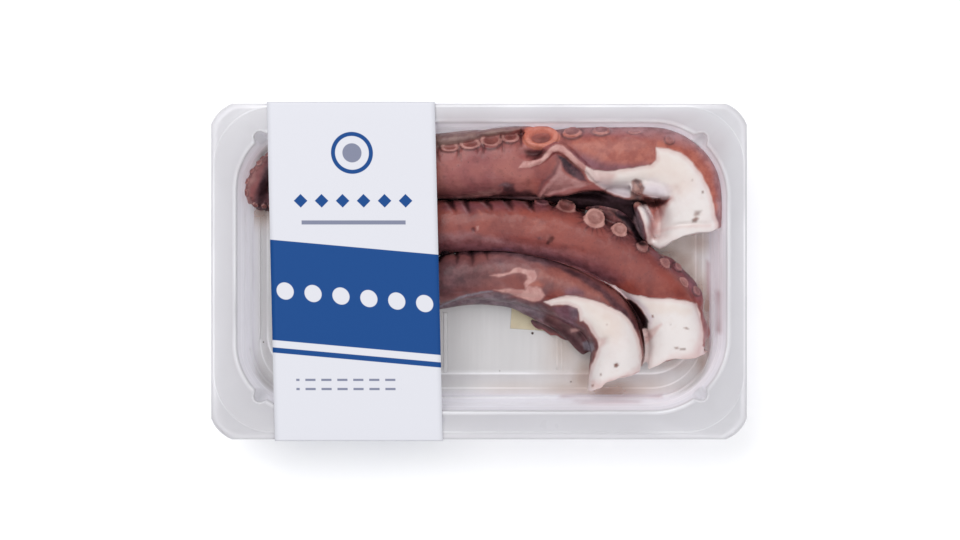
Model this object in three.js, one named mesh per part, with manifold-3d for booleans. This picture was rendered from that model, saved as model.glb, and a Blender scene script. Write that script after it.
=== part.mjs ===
// Cooked octopus arms in a sealed retail tray, in millimetres, +Z up.
//
// A thermoformed clear tray stands on the floor of the frame. Three cooked arms lie in it, each cut
// off square at its thick end and tapering to a curled tip. A lidding film is sealed on the tray's
// flange, and a printed board sleeve is wrapped round tray and film. +X runs along the tray's long
// side, towards the arms' cut ends. The origin is at the middle of the foot print.
import * as THREE from "three";
import { mergeVertices } from "three/addons/utils/BufferGeometryUtils.js";
import Module from "manifold-3d";

const wasm = await Module();
wasm.setup();

// ---------------------------------------------------------------- driving dimensions
const PACK_LENGTH = 235;
const PACK_WIDTH = 147.2;
const TRAY_TOP = 30; // the flange's upper face above the ground
const BOARD = 0.45; // thickness of the sleeve's board
const SHEET = 0.5; // thickness of the tray's plastic
const FILM = 0.2; // thickness of the lidding film
const PLAY = 0.3; // gap between pieces that rest on or against each other
const SKIN_GAP = 0.05; // gap between sheets that are stuck or sealed together

// ---------------------------------------------------------------- tray
const TRAY_FOOT = BOARD + SKIN_GAP;
const MOUTH = { length: 216, width: 127.4, radius: 30, rightRadius: 33, x: 1.2, y: 2.1 };
const CORNER_CUT = 9.2; // how much of each side the flange's clipped corner takes
const CORNER_BULGE = 1.4; // how far the clipped corner bows out past a straight cut
const SEAL = { inset: 1.2, frontInset: 3.2, radius: 26, drop: 0.6, slope: 0.5 };
const LUG_TURN = (50 * Math.PI) / 180; // where in the corner's quarter turn the lug stands
const LUG = { radius: 2.9, outside: 0.2, depth: 8 }; // round pocket in each corner of the mouth
const FLOOR_TOP = TRAY_FOOT + SHEET + 1.25; // upper face of the floor's raised panel

// The inside of the tray from its mouth to its floor: how far in from the mouth, and how high.
const WALL = [
  { inset: 0, z: TRAY_TOP, lug: true },
  { inset: 0.9, z: TRAY_TOP - 1.3, lug: true },
  { inset: 1.9, z: TRAY_TOP - LUG.depth, lug: true },
  { inset: 2.1, z: TRAY_TOP - LUG.depth - 0.4, lug: false },
  { inset: 3.9, z: 7, lug: false },
  { inset: 5.4, z: 3.2, lug: false },
  { inset: 7.6, z: TRAY_FOOT + SHEET, lug: false },
  { inset: 11.8, z: TRAY_FOOT + SHEET, lug: false },
  { inset: 13.4, z: FLOOR_TOP, lug: false },
];

// ---------------------------------------------------------------- sleeve and label
const SLEEVE = { width: 73.6, middle: -54.4, skew: -0.0237, lean: -0.06, footHalf: 61 };
const SLEEVE_EDGE = 1.9; // height of the sleeve's upright strip along the flange's edge
const LABEL = { length: 16, width: 11, thick: 0.15, x: 22, y: -20.5, turn: -0.07 };

// ---------------------------------------------------------------- arms
const ARM_BED = FLOOR_TOP + PLAY;
const ARM_SIDES = 12;
const RING_STEP = 6.2; // length of an arm between two rings of its mesh
const SUCKER_SIDES = 6;
const LEAST_SUCKER = 5.6; // smaller suckers than this diameter aren't modelled
const RIM_HEIGHT = 0.3; // how far a sucker stands out, as a share of its diameter

// Each arm's stations run from the cut end to the tip: x, y, width, height. The suckers stand in
// two rows, above and below the side that faces right as one looks from the cut end to the tip.
const ARMS = [
  {
    name: "arm_short",
    cut: { x: 60, y: -48.8, turn: 0.3 },
    stations: [
      [58, -58, 24, 20],
      [60, -44, 25, 23],
      [60.4, -31, 24.5, 25],
      [55, -19.5, 25, 25],
      [44.5, -12, 25, 24.5],
      [30.5, -6.3, 25, 23.5],
      [14.5, -2.6, 24, 22.5],
      [-1.5, -1.8, 22.8, 22],
      [-17, -3.8, 21.3, 21],
      [-32.5, -8.6, 18.5, 19],
      [-46, -15.2, 15.5, 16],
      [-57.5, -24.4, 12, 12.5],
      [-65.3, -35, 8.8, 9],
      [-69, -45, 6, 6.4],
      [-66.8, -53, 3.8, 4],
      [-61.8, -56, 1.8, 2],
    ],
    rows: [0.34, -0.7],
    rowTurn: 0,
    peak: { at: 0.36, diameter: 8.2 },
    folds: [
      // the skirt of dark web along the inner bend
      {
        width: 11.5,
        height: 10,
        path: [
          [-21.5, -16, 8],
          [-8.3, -12.5, 8.6],
          [4.8, -11.2, 9.2],
          [17.1, -13.4, 9.4],
          [26.7, -17.8, 9.4],
          [35.5, -22.1, 9.4],
          [43, -28.3, 9.2],
          [47.8, -36.2, 8.6],
        ],
      },
    ],
  },
  {
    name: "arm_middle",
    cut: { x: 88, y: -41, turn: 0.27 },
    stations: [
      [86, -50, 25.5, 22],
      [87.4, -38, 26.5, 23.5],
      [87.2, -28, 26.5, 25],
      [83, -16, 26.5, 25.5],
      [75.8, -6, 26, 25],
      [65, 4, 25.5, 24.5],
      [51, 11.3, 25.5, 24],
      [35.5, 16.2, 26, 23.5],
      [20, 18.8, 25.4, 23],
      [5, 20, 24.6, 22.5],
      [-12.5, 20.2, 23.6, 21.5],
      [-30, 20.6, 21, 19.5],
      [-47, 22, 16, 16.5],
      [-61, 22.6, 12.5, 13],
      [-72, 20.6, 9, 9.5],
      [-78.5, 15.5, 6.5, 7],
      [-79.5, 9.5, 4.2, 4.5],
      [-76, 6, 1.8, 2],
    ],
    rows: [0.36, -0.7],
    rowTurn: 0.55,
    peak: { at: 0.33, diameter: 9.6 },
    folds: [],
  },
  {
    name: "arm_long",
    cut: { x: 92.6, y: 14.4, turn: 0.22 },
    stations: [
      [91.4, 6, 29, 24],
      [93.3, 18, 29.8, 25],
      [93.1, 30.5, 30.5, 26],
      [89.8, 41.3, 31.8, 26],
      [78.2, 48.9, 31.5, 26],
      [62, 50.1, 30, 25.5],
      [45, 49.5, 30.5, 25],
      [28, 47.7, 29.5, 25],
      [9, 47.4, 29, 24.5],
      [-11, 46.5, 27.5, 24],
      [-31, 45.9, 25, 22.5],
      [-48, 45.6, 21, 20.5],
      [-65, 46.8, 16.4, 17],
      [-81, 48.9, 14, 14.5],
      [-91.6, 46, 13, 14],
      [-97.6, 39.4, 11.4, 12.5],
      [-98.3, 33.6, 10.4, 10.5],
      [-93, 31.2, 8.8, 8.8],
      [-85, 31.4, 6.8, 7],
      [-78, 32.6, 5, 5.5],
      [-72.8, 35.4, 3.4, 3.6],
      [-71, 38.4, 1.8, 2],
    ],
    rows: [0.58, -0.62],
    rowTurn: -0.1,
    peak: { at: 0.31, diameter: 8 },
    giant: { at: 0.368, diameter: 15.5 },
    folds: [
      // the edge of the torn web that lies over the arm's back, and the flap that hangs from it
      {
        width: 3.4,
        height: 3.4,
        path: [
          [17, 46, 26.5],
          [26, 48, 26.8],
          [34, 54, 25.8],
          [42, 50, 27],
          [49, 44, 26.6],
          [54, 40, 24.4],
        ],
      },
      {
        width: 4,
        height: 9,
        path: [
          [26, 33.6, 19],
          [36, 36.5, 21.5],
          [46, 39.5, 23],
          [55, 41.5, 23],
        ],
      },
      // the flesh below the torn web, down to the cut end
      {
        width: 11,
        height: 16,
        path: [
          [75, 33.1, 13.5],
          [77.2, 26.1, 11],
          [78.9, 19.9, 11],
          [80.2, 12.9, 10.6],
        ],
      },
      // the web that stands up beside the cut end
      {
        width: 4.6,
        height: 15,
        path: [
          [66, 34.5, 18],
          [70.5, 28.5, 18.5],
          [73, 20, 18],
          [76, 12.5, 16],
        ],
      },
    ],
  },
];

// ---------------------------------------------------------------- finishes
const finish = (color, roughness, opacity = 1) =>
  new THREE.MeshStandardMaterial({
    color,
    roughness,
    metalness: 0,
    opacity,
    transparent: opacity < 1,
  });
const FINISH = {
  sheet: finish(0xdcdde2, 0.25, 0.4),
  film: finish(0xf2f4f8, 0.08, 0.12),
  board: finish(0xe9ecf4, 0.55),
  skin: finish(0x9c5f58, 0.35),
  label: finish(0xd9d3a4, 0.5),
};

// ---------------------------------------------------------------- helpers
const merged = (geometry) => {
  const bare = geometry.clone();
  bare.deleteAttribute("normal");
  bare.deleteAttribute("uv");
  return mergeVertices(bare, 1e-4);
};

/** A closed three.js geometry as a manifold-3d solid. */
function solidOf(geometry) {
  const closed = merged(geometry);
  const corners = closed.index.array;
  const triangles = [];
  for (let i = 0; i < corners.length; i += 3) {
    const [a, b, c] = [corners[i], corners[i + 1], corners[i + 2]];
    if (a !== b && b !== c && c !== a) triangles.push(a, b, c);
  }
  return new wasm.Manifold(
    new wasm.Mesh({
      numProp: 3,
      vertProperties: closed.attributes.position.array,
      triVerts: new Uint32Array(triangles),
    }),
  );
}

/** A manifold-3d solid as a flat-shaded three.js geometry. */
function geometryOf(solid) {
  const mesh = solid.getMesh();
  const positions = new Float32Array(mesh.numVert * 3);
  for (let i = 0; i < mesh.numVert; i++) {
    const at = i * mesh.numProp;
    positions.set(mesh.vertProperties.subarray(at, at + 3), i * 3);
  }
  const indexed = new THREE.BufferGeometry();
  indexed.setAttribute("position", new THREE.BufferAttribute(positions, 3));
  indexed.setIndex(new THREE.BufferAttribute(new Uint32Array(mesh.triVerts), 1));
  const flat = indexed.toNonIndexed();
  flat.computeVertexNormals();
  return flat;
}

/** Closes a stack of equal loops into one skin, with a point at the middle of each end. */
function closedSkin(loops) {
  const count = loops[0].length;
  const points = loops.flat();
  const middle = (loop) =>
    loop.reduce((sum, p) => sum.add(p), new THREE.Vector3()).divideScalar(loop.length);
  points.push(middle(loops[0]), middle(loops.at(-1)));
  const [first, last] = [points.length - 2, points.length - 1];
  const index = [];
  for (let i = 0; i < count; i++) {
    const j = (i + 1) % count;
    for (let k = 0; k + 1 < loops.length; k++) {
      const [a, b, c, d] = [k * count + i, k * count + j, (k + 1) * count + i, (k + 1) * count + j];
      index.push(a, b, d, a, d, c);
    }
    const end = (loops.length - 1) * count;
    index.push(first, j, i, last, end + i, end + j);
  }
  return new THREE.BufferGeometry().setFromPoints(points).setIndex(index);
}

// ---------------------------------------------------------------- tray
// Shares of the quarter turn at which every loop has a point, close together over the lug.
const CORNER_STEPS = [0, 0.22, 0.455, 0.485, 0.515, 0.556, 0.597, 0.627, 0.657, 0.83, 1];

/** Goes round the four corners and asks for each point by its share and its side, left or right. */
function fourCorners(point, z) {
  const loop = [];
  const corners = [[1, 1], [-1, 1], [-1, -1], [1, -1]];
  corners.forEach(([sx, sy]) => {
    const steps = sx * sy > 0 ? CORNER_STEPS : [...CORNER_STEPS].reverse();
    steps.forEach((share) => {
      const [x, y] = point(share, sx);
      loop.push([sx * x, sy * y, z]);
    });
  });
  return loop;
}

/** A rounded rectangle's loop, with a lug pocket pushed out of each corner where it has one. */
function roundLoop({ length, width, radii, x = 0, y = 0, z, lugRadius = 0, lugOut = 0 }) {
  const point = (share, side) => {
    const corner = side < 0 ? radii[0] : radii[1];
    const angle = (share * Math.PI) / 2;
    const off = angle - LUG_TURN;
    const lugAt = corner + lugOut;
    const reach = lugAt * Math.sin(off);
    const beyond = Math.sqrt(Math.max(0, lugRadius ** 2 - reach ** 2));
    const r = Math.max(corner, beyond ? lugAt * Math.cos(off) + beyond : 0);
    return [length / 2 - corner + r * Math.cos(angle), width / 2 - corner + r * Math.sin(angle)];
  };
  return fourCorners(point, z).map(([px, py, pz]) => new THREE.Vector3(px + x, py + y, pz));
}

/** The flange's outer edge: a rectangle whose corners are clipped along a shallow bow. */
function outlineLoop(inset, z) {
  const [halfX, halfY] = [PACK_LENGTH / 2 - inset, PACK_WIDTH / 2 - inset];
  const point = (share) => {
    const bow = CORNER_BULGE * 4 * share * (1 - share) * Math.SQRT1_2;
    return [halfX - CORNER_CUT * share + bow, halfY - CORNER_CUT * (1 - share) + bow];
  };
  return fourCorners(point, z).map((p) => new THREE.Vector3(...p));
}

/** The loop that the seal's outer edge follows on the flange, wider at the front. */
function sealLoop(grow, z) {
  const front = SEAL.frontInset - SEAL.inset;
  return roundLoop({
    length: PACK_LENGTH - 2 * SEAL.inset + 2 * grow,
    width: PACK_WIDTH - 2 * SEAL.inset - front + 2 * grow,
    radii: [SEAL.radius + grow, SEAL.radius + grow],
    y: front / 2,
    z,
  });
}

/** One loop of the tray's wall, moved out and down by the sheet's thickness for the outside. */
function wallLoop({ inset, z, lug }, out = 0) {
  return roundLoop({
    length: MOUTH.length - 2 * (inset - out),
    width: MOUTH.width - 2 * (inset - out),
    radii: [MOUTH.radius, MOUTH.rightRadius].map((radius) => radius - inset + out),
    x: MOUTH.x,
    y: MOUTH.y,
    z,
    lugRadius: lug ? LUG.radius + out : 0,
    lugOut: LUG.outside + inset - out,
  });
}

/** The outer face of the wall: each corner of its profile moved square to both its neighbours. */
function outerWall() {
  const normal = (a, b) => {
    const [along, down] = [b.inset - a.inset, a.z - b.z];
    const size = Math.hypot(along, down);
    return { out: down / size, low: along / size };
  };
  return WALL.map((at, i) => {
    const before = i ? normal(WALL[i - 1], at) : { out: 0, low: 1 };
    const after = i + 1 < WALL.length ? normal(at, WALL[i + 1]) : { out: 0, low: 1 };
    const mitre = SHEET / (1 + before.out * after.out + before.low * after.low);
    const out = (before.out + after.out) * mitre;
    return wallLoop({ ...at, z: at.z - (before.low + after.low) * mitre }, out);
  });
}

function makeTray() {
  const lip = TRAY_TOP - SEAL.drop;
  const top = [
    ...WALL.map((at) => wallLoop(at)).reverse(),
    sealLoop(0, TRAY_TOP),
    sealLoop(SEAL.slope, lip),
    outlineLoop(0, lip),
  ];
  const under = [
    outlineLoop(0, lip - SHEET),
    sealLoop(SEAL.slope, lip - SHEET),
    sealLoop(0, TRAY_TOP - SHEET),
    ...outerWall(),
  ];
  return new THREE.Mesh(closedSkin([...top, ...under].reverse()), FINISH.sheet);
}

/** The room inside the tray, kept clear of its wall, which the arms are pressed into. */
function trayRoom() {
  const inward = (at) => ({ ...at, inset: at.inset + PLAY, lug: false });
  const floor = { inset: 8, z: ARM_BED, lug: false };
  const walls = WALL.slice(1, 6).map(inward);
  const levels = [{ ...walls[0], z: TRAY_TOP - PLAY }, ...walls.slice(1), floor];
  return solidOf(closedSkin(levels.map((at) => wallLoop(at)).reverse()));
}

// ---------------------------------------------------------------- film, sleeve and label
function makeFilm() {
  const outline = outlineLoop(0.2, 0).map((p) => new THREE.Vector2(p.x, p.y));
  const geometry = new THREE.ExtrudeGeometry(new THREE.Shape(outline), {
    depth: FILM,
    bevelEnabled: false,
  });
  const film = new THREE.Mesh(geometry, FINISH.film);
  film.position.z = TRAY_TOP + SKIN_GAP;
  return film;
}

/** The sleeve's closed outline across the pack, with its four folds rounded. */
function sleeveOutline(out, kind) {
  const [topHalf, footHalf] = [PACK_WIDTH / 2 + SKIN_GAP * 4 + out, SLEEVE.footHalf + out];
  const [low, high] = [BOARD - out, TRAY_TOP + FILM + 3 * SKIN_GAP + out];
  const edge = high - SLEEVE_EDGE;
  const right = [[footHalf, low, 1.5], [topHalf, edge, 0.5], [topHalf, high, 0.2]];
  const left = right.map(([y, z, fold]) => [-y, z, fold]).reverse();
  const corners = [...right, ...left];
  const shape = new kind();
  corners.forEach(([y, z, fold], i) => {
    const toward = (other) => {
      const way = new THREE.Vector2(other[0] - y, other[1] - z).setLength(fold + out);
      return [y + way.x, z + way.y];
    };
    const from = toward(corners.at(i - 1));
    const to = toward(corners[(i + 1) % corners.length]);
    if (i) shape.lineTo(...from);
    else shape.moveTo(...from);
    shape.quadraticCurveTo(y, z, ...to);
  });
  shape.closePath();
  return shape;
}

function makeSleeve() {
  const section = sleeveOutline(BOARD, THREE.Shape);
  section.holes.push(sleeveOutline(0, THREE.Path));
  const geometry = new THREE.ExtrudeGeometry(section, {
    depth: SLEEVE.width,
    bevelEnabled: false,
    curveSegments: 3,
  });
  // The section is drawn with the pack's Y across and Z up, and is pushed along the pack's X.
  const upright = new THREE.Matrix4().makeBasis(
    new THREE.Vector3(0, 1, 0),
    new THREE.Vector3(0, 0, 1),
    new THREE.Vector3(1, 0, 0),
  );
  const skew = new THREE.Matrix4().makeShear(0, 0, SLEEVE.skew, 0, SLEEVE.lean, 0);
  const start = SLEEVE.middle - SLEEVE.width / 2 - SLEEVE.lean * TRAY_TOP;
  geometry.applyMatrix4(upright).applyMatrix4(skew).translate(start, 0, 0);
  return new THREE.Mesh(geometry, FINISH.board);
}

function makeLabel() {
  const label = new THREE.Mesh(
    new THREE.BoxGeometry(LABEL.length, LABEL.width, LABEL.thick),
    FINISH.label,
  );
  label.position.set(LABEL.x, LABEL.y, FLOOR_TOP - SHEET - SKIN_GAP - LABEL.thick / 2);
  label.rotation.z = LABEL.turn;
  return label;
}

// ---------------------------------------------------------------- arms
/** A centreline with a width and height along it, laid on the arms' bed. */
class Limb {
  constructor(stations) {
    this.line = new THREE.CatmullRomCurve3(
      stations.map(([x, y, , height]) => new THREE.Vector3(x, y, ARM_BED + height / 2)),
      false,
      "centripetal",
    );
    this.widths = this.profile(stations, 2);
    this.heights = this.profile(stations, 3);
    this.length = this.line.getLength();
  }

  /** A smooth curve of one of the stations' sizes over the share of the limb's knots. */
  profile(stations, column) {
    return new THREE.CatmullRomCurve3(
      stations.map((station, i) => new THREE.Vector3(i, station[column], 0)),
      false,
      "centripetal",
    );
  }

  /** The place, its level axes and its half sizes at a share of the length. */
  at(share) {
    const t = this.line.getUtoTmapping(share);
    const along = this.line.getTangent(t);
    along.z = 0;
    along.normalize();
    return {
      middle: this.line.getPoint(t),
      side: new THREE.Vector3(along.y, -along.x, 0),
      halfWidth: this.widths.getPoint(t).y / 2,
      halfHeight: this.heights.getPoint(t).y / 2,
    };
  }

  /** The point and the outward direction on the skin, at an angle above the sucker side. */
  skin(share, angle) {
    const { middle, side, halfWidth, halfHeight } = this.at(share);
    const out = side.clone().multiplyScalar(Math.cos(angle)).setZ(Math.sin(angle));
    const point = middle.clone().addScaledVector(side, halfWidth * Math.cos(angle));
    point.z += halfHeight * Math.sin(angle);
    return { point, out };
  }

  /** A lathed rod bent along the limb, with its two ends drawn in to a point. */
  body(sides, rings, grow = 0) {
    const rod = [new THREE.Vector2(0, 0)];
    for (let i = 0; i <= rings; i++) rod.push(new THREE.Vector2(1, i / rings));
    rod.push(new THREE.Vector2(0, 1));
    const geometry = merged(new THREE.LatheGeometry(rod, sides));
    const position = geometry.attributes.position;
    for (let i = 0; i < position.count; i++) {
      const [x, share, z] = [position.getX(i), position.getY(i), position.getZ(i)];
      const { middle, side, halfWidth, halfHeight } = this.at(share);
      const place = middle.addScaledVector(side, x * (halfWidth + grow));
      place.z += z * (halfHeight + grow);
      position.setXYZ(i, place.x, place.y, place.z);
    }
    return solidOf(geometry);
  }
}

/** A flattened fold of skin along a path: x, y and the height of its middle at each point. */
function makeFold({ width, height, path }, grow) {
  const points = path.map((p) => new THREE.Vector3(...p));
  const line = new THREE.CatmullRomCurve3(points, false, "centripetal");
  const section = new THREE.Shape().absellipse(0, 0, height / 2 + grow, width / 2 + grow, 0, Math.PI * 2);
  const outline = new THREE.Shape(section.getPoints(2));
  const geometry = new THREE.ExtrudeGeometry(outline, {
    steps: 2 * path.length,
    extrudePath: line,
    bevelEnabled: false,
  });
  return solidOf(geometry);
}

/** A sucker: a short neck that flares to a rim round a dished cup. */
function makeSucker(diameter, point, out, grow, sides = SUCKER_SIDES) {
  const r = diameter / 2 + grow;
  const rise = RIM_HEIGHT * diameter + grow;
  const cup = new THREE.LatheGeometry(
    [
      new THREE.Vector2(0, -r),
      new THREE.Vector2(0.75 * r, -r),
      new THREE.Vector2(r, rise),
      new THREE.Vector2(0.6 * r, rise),
      new THREE.Vector2(0, 0.3 * rise),
    ],
    sides,
  );
  const turn = new THREE.Quaternion().setFromUnitVectors(new THREE.Vector3(0, 1, 0), out);
  cup.applyQuaternion(turn).translate(point.x, point.y, point.z);
  return solidOf(cup);
}

/** The diameter of the suckers at a share of an arm: small by the cut end, then the arm's own. */
function suckerDiameter({ peak }, limb, share) {
  const before = THREE.MathUtils.smoothstep(share, 0.05, peak.at);
  const widest = limb.at(peak.at).halfWidth;
  const after = limb.at(share).halfWidth / widest;
  return peak.diameter * Math.min(after, 0.5 + 0.5 * before);
}

/** The shares of the arm's length at which one row has its suckers, closer where they are small. */
function suckerShares(arm, limb, shift) {
  const shares = [];
  let share = 0.1 + shift / limb.length;
  while (share < 0.97) {
    const diameter = suckerDiameter(arm, limb, share);
    if (diameter >= LEAST_SUCKER) shares.push({ share, diameter });
    else if (share > arm.peak.at) break;
    const spread = 1.12 + 0.75 * (1 - THREE.MathUtils.smoothstep(share, 0.15, arm.peak.at));
    share += (spread * diameter) / limb.length;
  }
  return shares;
}

/** Both rows of an arm's suckers, set half a step apart, and its oversized one if it has one. */
function suckersOf(arm, limb, grow) {
  const found = [];
  arm.rows.forEach((angle, row) => {
    suckerShares(arm, limb, row * 4).forEach(({ share, diameter }) => {
      const crowded = arm.giant && row === 0 && Math.abs(share - arm.giant.at) * limb.length < 12;
      if (crowded) return;
      const turn = arm.rowTurn * (1 - THREE.MathUtils.smoothstep(share, 0.2, 0.5));
      const { point, out } = limb.skin(share, angle + turn);
      found.push(makeSucker(diameter, point, out, grow));
    });
  });
  if (arm.giant) {
    const { point, out } = limb.skin(arm.giant.at, arm.rows[0]);
    point.addScaledVector(out, -0.8);
    found.push(makeSucker(arm.giant.diameter, point, out, grow, 2 * SUCKER_SIDES));
  }
  return found;
}

/** A block that takes off everything past an arm's slanting cut. */
function cutBlock({ x, y, turn }, grow) {
  const size = 60;
  const block = new THREE.BoxGeometry(size, size, size);
  block.translate(0, -size / 2 - grow, 0).rotateZ(turn).translate(x, y, size / 4);
  return solidOf(block);
}

/** One arm as a single solid, square at its cut end, grown by a margin where that is asked for. */
function makeArm(arm, grow = 0) {
  const limb = new Limb(arm.stations);
  const folds = arm.folds.map((fold) => makeFold(fold, grow));
  const body = limb.body(ARM_SIDES, Math.round(limb.length / RING_STEP), grow);
  return [...folds, ...suckersOf(arm, limb, grow)]
    .reduce((whole, more) => whole.add(more), body)
    .subtract(cutBlock(arm.cut, grow));
}

/** The arms pressed into the tray, each dented by the ones laid in before it. */
function makeArms() {
  const room = trayRoom();
  return ARMS.map((arm, i) => {
    const pressed = ARMS.slice(0, i).reduce(
      (solid, before) => solid.subtract(makeArm(before, PLAY)),
      makeArm(arm).intersect(room),
    );
    const [largest] = pressed.decompose().sort((a, b) => b.volume() - a.volume());
    return new THREE.Mesh(geometryOf(largest), FINISH.skin);
  });
}

// ---------------------------------------------------------------- assembly
const named = (name, mesh) => {
  mesh.name = name;
  return mesh;
};
const pack = new THREE.Group();
pack.add(named("tray", makeTray()));
makeArms().forEach((arm, i) => pack.add(named(ARMS[i].name, arm)));
pack.add(named("film", makeFilm()));
pack.add(named("sleeve", makeSleeve()));
pack.add(named("base_label", makeLabel()));

export default pack;
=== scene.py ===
"""Cooked octopus arms in a sealed retail tray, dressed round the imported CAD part.

The scene keeps the CAD frame: metres, +X along the tray's long side towards the arms' cut ends, +Z
up through the film. Sizes in the classes below are in millimetres and become metres when a mesh is
made. Every piece rides on the one body, "root".
"""

import logging
import math
from dataclasses import dataclass, field
from enum import Enum
from typing import Callable, Sequence

import bmesh
import bpy
import numpy as np
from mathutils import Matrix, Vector


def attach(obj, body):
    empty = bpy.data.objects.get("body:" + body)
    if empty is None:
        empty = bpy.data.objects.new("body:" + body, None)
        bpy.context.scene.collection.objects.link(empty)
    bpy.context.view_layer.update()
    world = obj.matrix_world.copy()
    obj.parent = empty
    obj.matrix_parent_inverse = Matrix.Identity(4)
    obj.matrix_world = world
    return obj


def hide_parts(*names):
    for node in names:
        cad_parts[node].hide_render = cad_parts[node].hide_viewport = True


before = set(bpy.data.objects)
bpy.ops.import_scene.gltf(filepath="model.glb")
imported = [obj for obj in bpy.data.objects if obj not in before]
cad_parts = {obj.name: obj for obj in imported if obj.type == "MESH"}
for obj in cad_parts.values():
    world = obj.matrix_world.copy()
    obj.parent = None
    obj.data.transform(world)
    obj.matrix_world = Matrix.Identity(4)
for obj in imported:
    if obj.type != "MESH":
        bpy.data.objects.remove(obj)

LOG = logging.getLogger("octopus_pack")
MM = 0.001
IN_MM = 1 / MM
TINY = 1e-6
FAR = 99.0
SEED = 7
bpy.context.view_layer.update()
Points = np.ndarray
Outline = tuple[tuple[float, float], ...]


# ------------------------------------------------------------------------------- shader maths
class Socket:
    """An output socket of a material's nodes, with arithmetic that adds Math nodes."""

    def __init__(self, graph: "Graph", link: bpy.types.NodeSocket) -> None:
        """Keeps the node graph and the output socket in it."""
        self.graph = graph
        self.link = link

    def math(self, operation: str, *others: "Socket | float") -> "Socket":
        """Adds a Math node with this socket as its first value."""
        return self.graph.maths(operation, self, *others)

    def __add__(self, other: "Socket | float") -> "Socket":
        """Adds a value."""
        return self.math("ADD", other)

    __radd__ = __add__

    def __mul__(self, other: "Socket | float") -> "Socket":
        """Multiplies by a value."""
        return self.math("MULTIPLY", other)

    __rmul__ = __mul__

    def __sub__(self, other: "Socket | float") -> "Socket":
        """Takes a value away."""
        return self.math("SUBTRACT", other)

    def __rsub__(self, other: float) -> "Socket":
        """Takes this socket away from a number."""
        return self.graph.maths("SUBTRACT", other, self)

    def __truediv__(self, other: "Socket | float") -> "Socket":
        """Divides by a value."""
        return self.math("DIVIDE", other)

    def between(self, low: float, high: float) -> "Socket":
        """A smooth step from 0 at low to 1 at high, or down from 1 where low is the larger.

        Args:
            low: where the step is 0.
            high: where it is 1.

        Returns:
            The step.
        """
        return self.graph.node(
            "ShaderNodeMapRange",
            {"interpolation_type": "SMOOTHSTEP"},
            {"Value": self, "From Min": low, "From Max": high},
        )


class Graph:
    """The nodes of one material."""

    def __init__(self, name: str) -> None:
        """Starts an empty material.

        Args:
            name: the material's name.
        """
        self.material = bpy.data.materials.new(name)
        self.material.use_nodes = True
        self.tree = self.material.node_tree
        self.tree.nodes.clear()

    def node(
        self,
        kind: str,
        settings: dict[str, object] | None = None,
        values: dict[str | int, object] | None = None,
        output: str | int = 0,
    ) -> Socket:
        """Adds one node.

        Args:
            kind: the node's type name.
            settings: its properties, set before its values.
            values: the values or links of its input sockets, by name or number.
            output: the output socket that is wanted, by name or number.

        Returns:
            That output.
        """
        made = self.tree.nodes.new(kind)
        for key, setting in (settings or {}).items():
            setattr(made, key, setting)
        for key, value in (values or {}).items():
            if isinstance(value, Socket):
                self.tree.links.new(value.link, made.inputs[key])
            else:
                made.inputs[key].default_value = value
        return Socket(self, made.outputs[output])

    def maths(self, operation: str, *values: "Socket | float") -> Socket:
        """Adds a Math node with these values."""
        return self.node("ShaderNodeMath", {"operation": operation}, dict(enumerate(values)))

    def mix(self, share: "Socket | float", a: object, b: object) -> Socket:
        """Mixes two colours, given the share of the second."""
        settings = {"data_type": "RGBA", "clamp_factor": True}
        return self.node("ShaderNodeMix", settings, {0: share, 6: a, 7: b}, 2)

    def place(self) -> Socket:
        """The place on the piece, in metres in the CAD frame."""
        return self.node("ShaderNodeTexCoord", output="Object")

    def axis(self, place: Socket, name: str) -> Socket:
        """One coordinate, "X", "Y" or "Z", of a place."""
        return self.node("ShaderNodeSeparateXYZ", {}, {0: place}, name)

    def stretched(self, place: Socket, scale: tuple[float, float, float]) -> Socket:
        """A place with each axis multiplied."""
        return self.node("ShaderNodeVectorMath", {"operation": "MULTIPLY"}, {0: place, 1: scale})

    def noise(self, place: Socket, size_mm: float, detail: float = 3, rough: float = 0.5) -> Socket:
        """Soft noise about 0.5, with its largest blots this many millimetres wide."""
        values = {"Vector": place, "Scale": 1 / (size_mm * MM), "Detail": detail, "Roughness": rough}
        return self.node("ShaderNodeTexNoise", {}, values, "Fac")

    def cells(self, place: Socket, size_mm: float) -> Socket:
        """The distance to the nearest of many scattered points, in shares of their spacing."""
        values = {"Vector": place, "Scale": 1 / (size_mm * MM)}
        return self.node("ShaderNodeTexVoronoi", {"feature": "F1"}, values, "Distance")

    def mask(self, name: str) -> Socket:
        """A mask stored on the mesh's points."""
        return self.node("ShaderNodeAttribute", {"attribute_name": name}, {}, "Fac")

    def bump(self, height: Socket, depth_mm: float, strength: float = 1.0) -> Socket:
        """A normal bent by a height from 0 to 1 that stands for a depth in millimetres."""
        values = {"Strength": strength, "Distance": depth_mm * MM, "Height": height}
        return self.node("ShaderNodeBump", {}, values, "Normal")

    def principled(self, values: dict[str, object]) -> Socket:
        """The main surface shader."""
        return self.node("ShaderNodeBsdfPrincipled", {}, values, "BSDF")

    def finish(self, shader: Socket) -> bpy.types.Material:
        """Joins a shader to the output.

        Args:
            shader: the finished surface.

        Returns:
            The material.
        """
        end = self.tree.nodes.new("ShaderNodeOutputMaterial")
        self.tree.links.new(shader.link, end.inputs["Surface"])
        return self.material


def tone(red: float, green: float, blue: float) -> tuple[float, ...]:
    """A colour given as 0 to 255 on a screen, as the linear values that shaders take.

    Args:
        red: red, from 0 to 255.
        green: green.
        blue: blue.

    Returns:
        Red, green, blue and 1 for opaque.
    """
    linear = [
        c / 12.92 if c <= 0.04045 else ((c + 0.055) / 1.055) ** 2.4
        for c in (red / 255, green / 255, blue / 255)
    ]
    return (*linear, 1.0)


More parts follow.
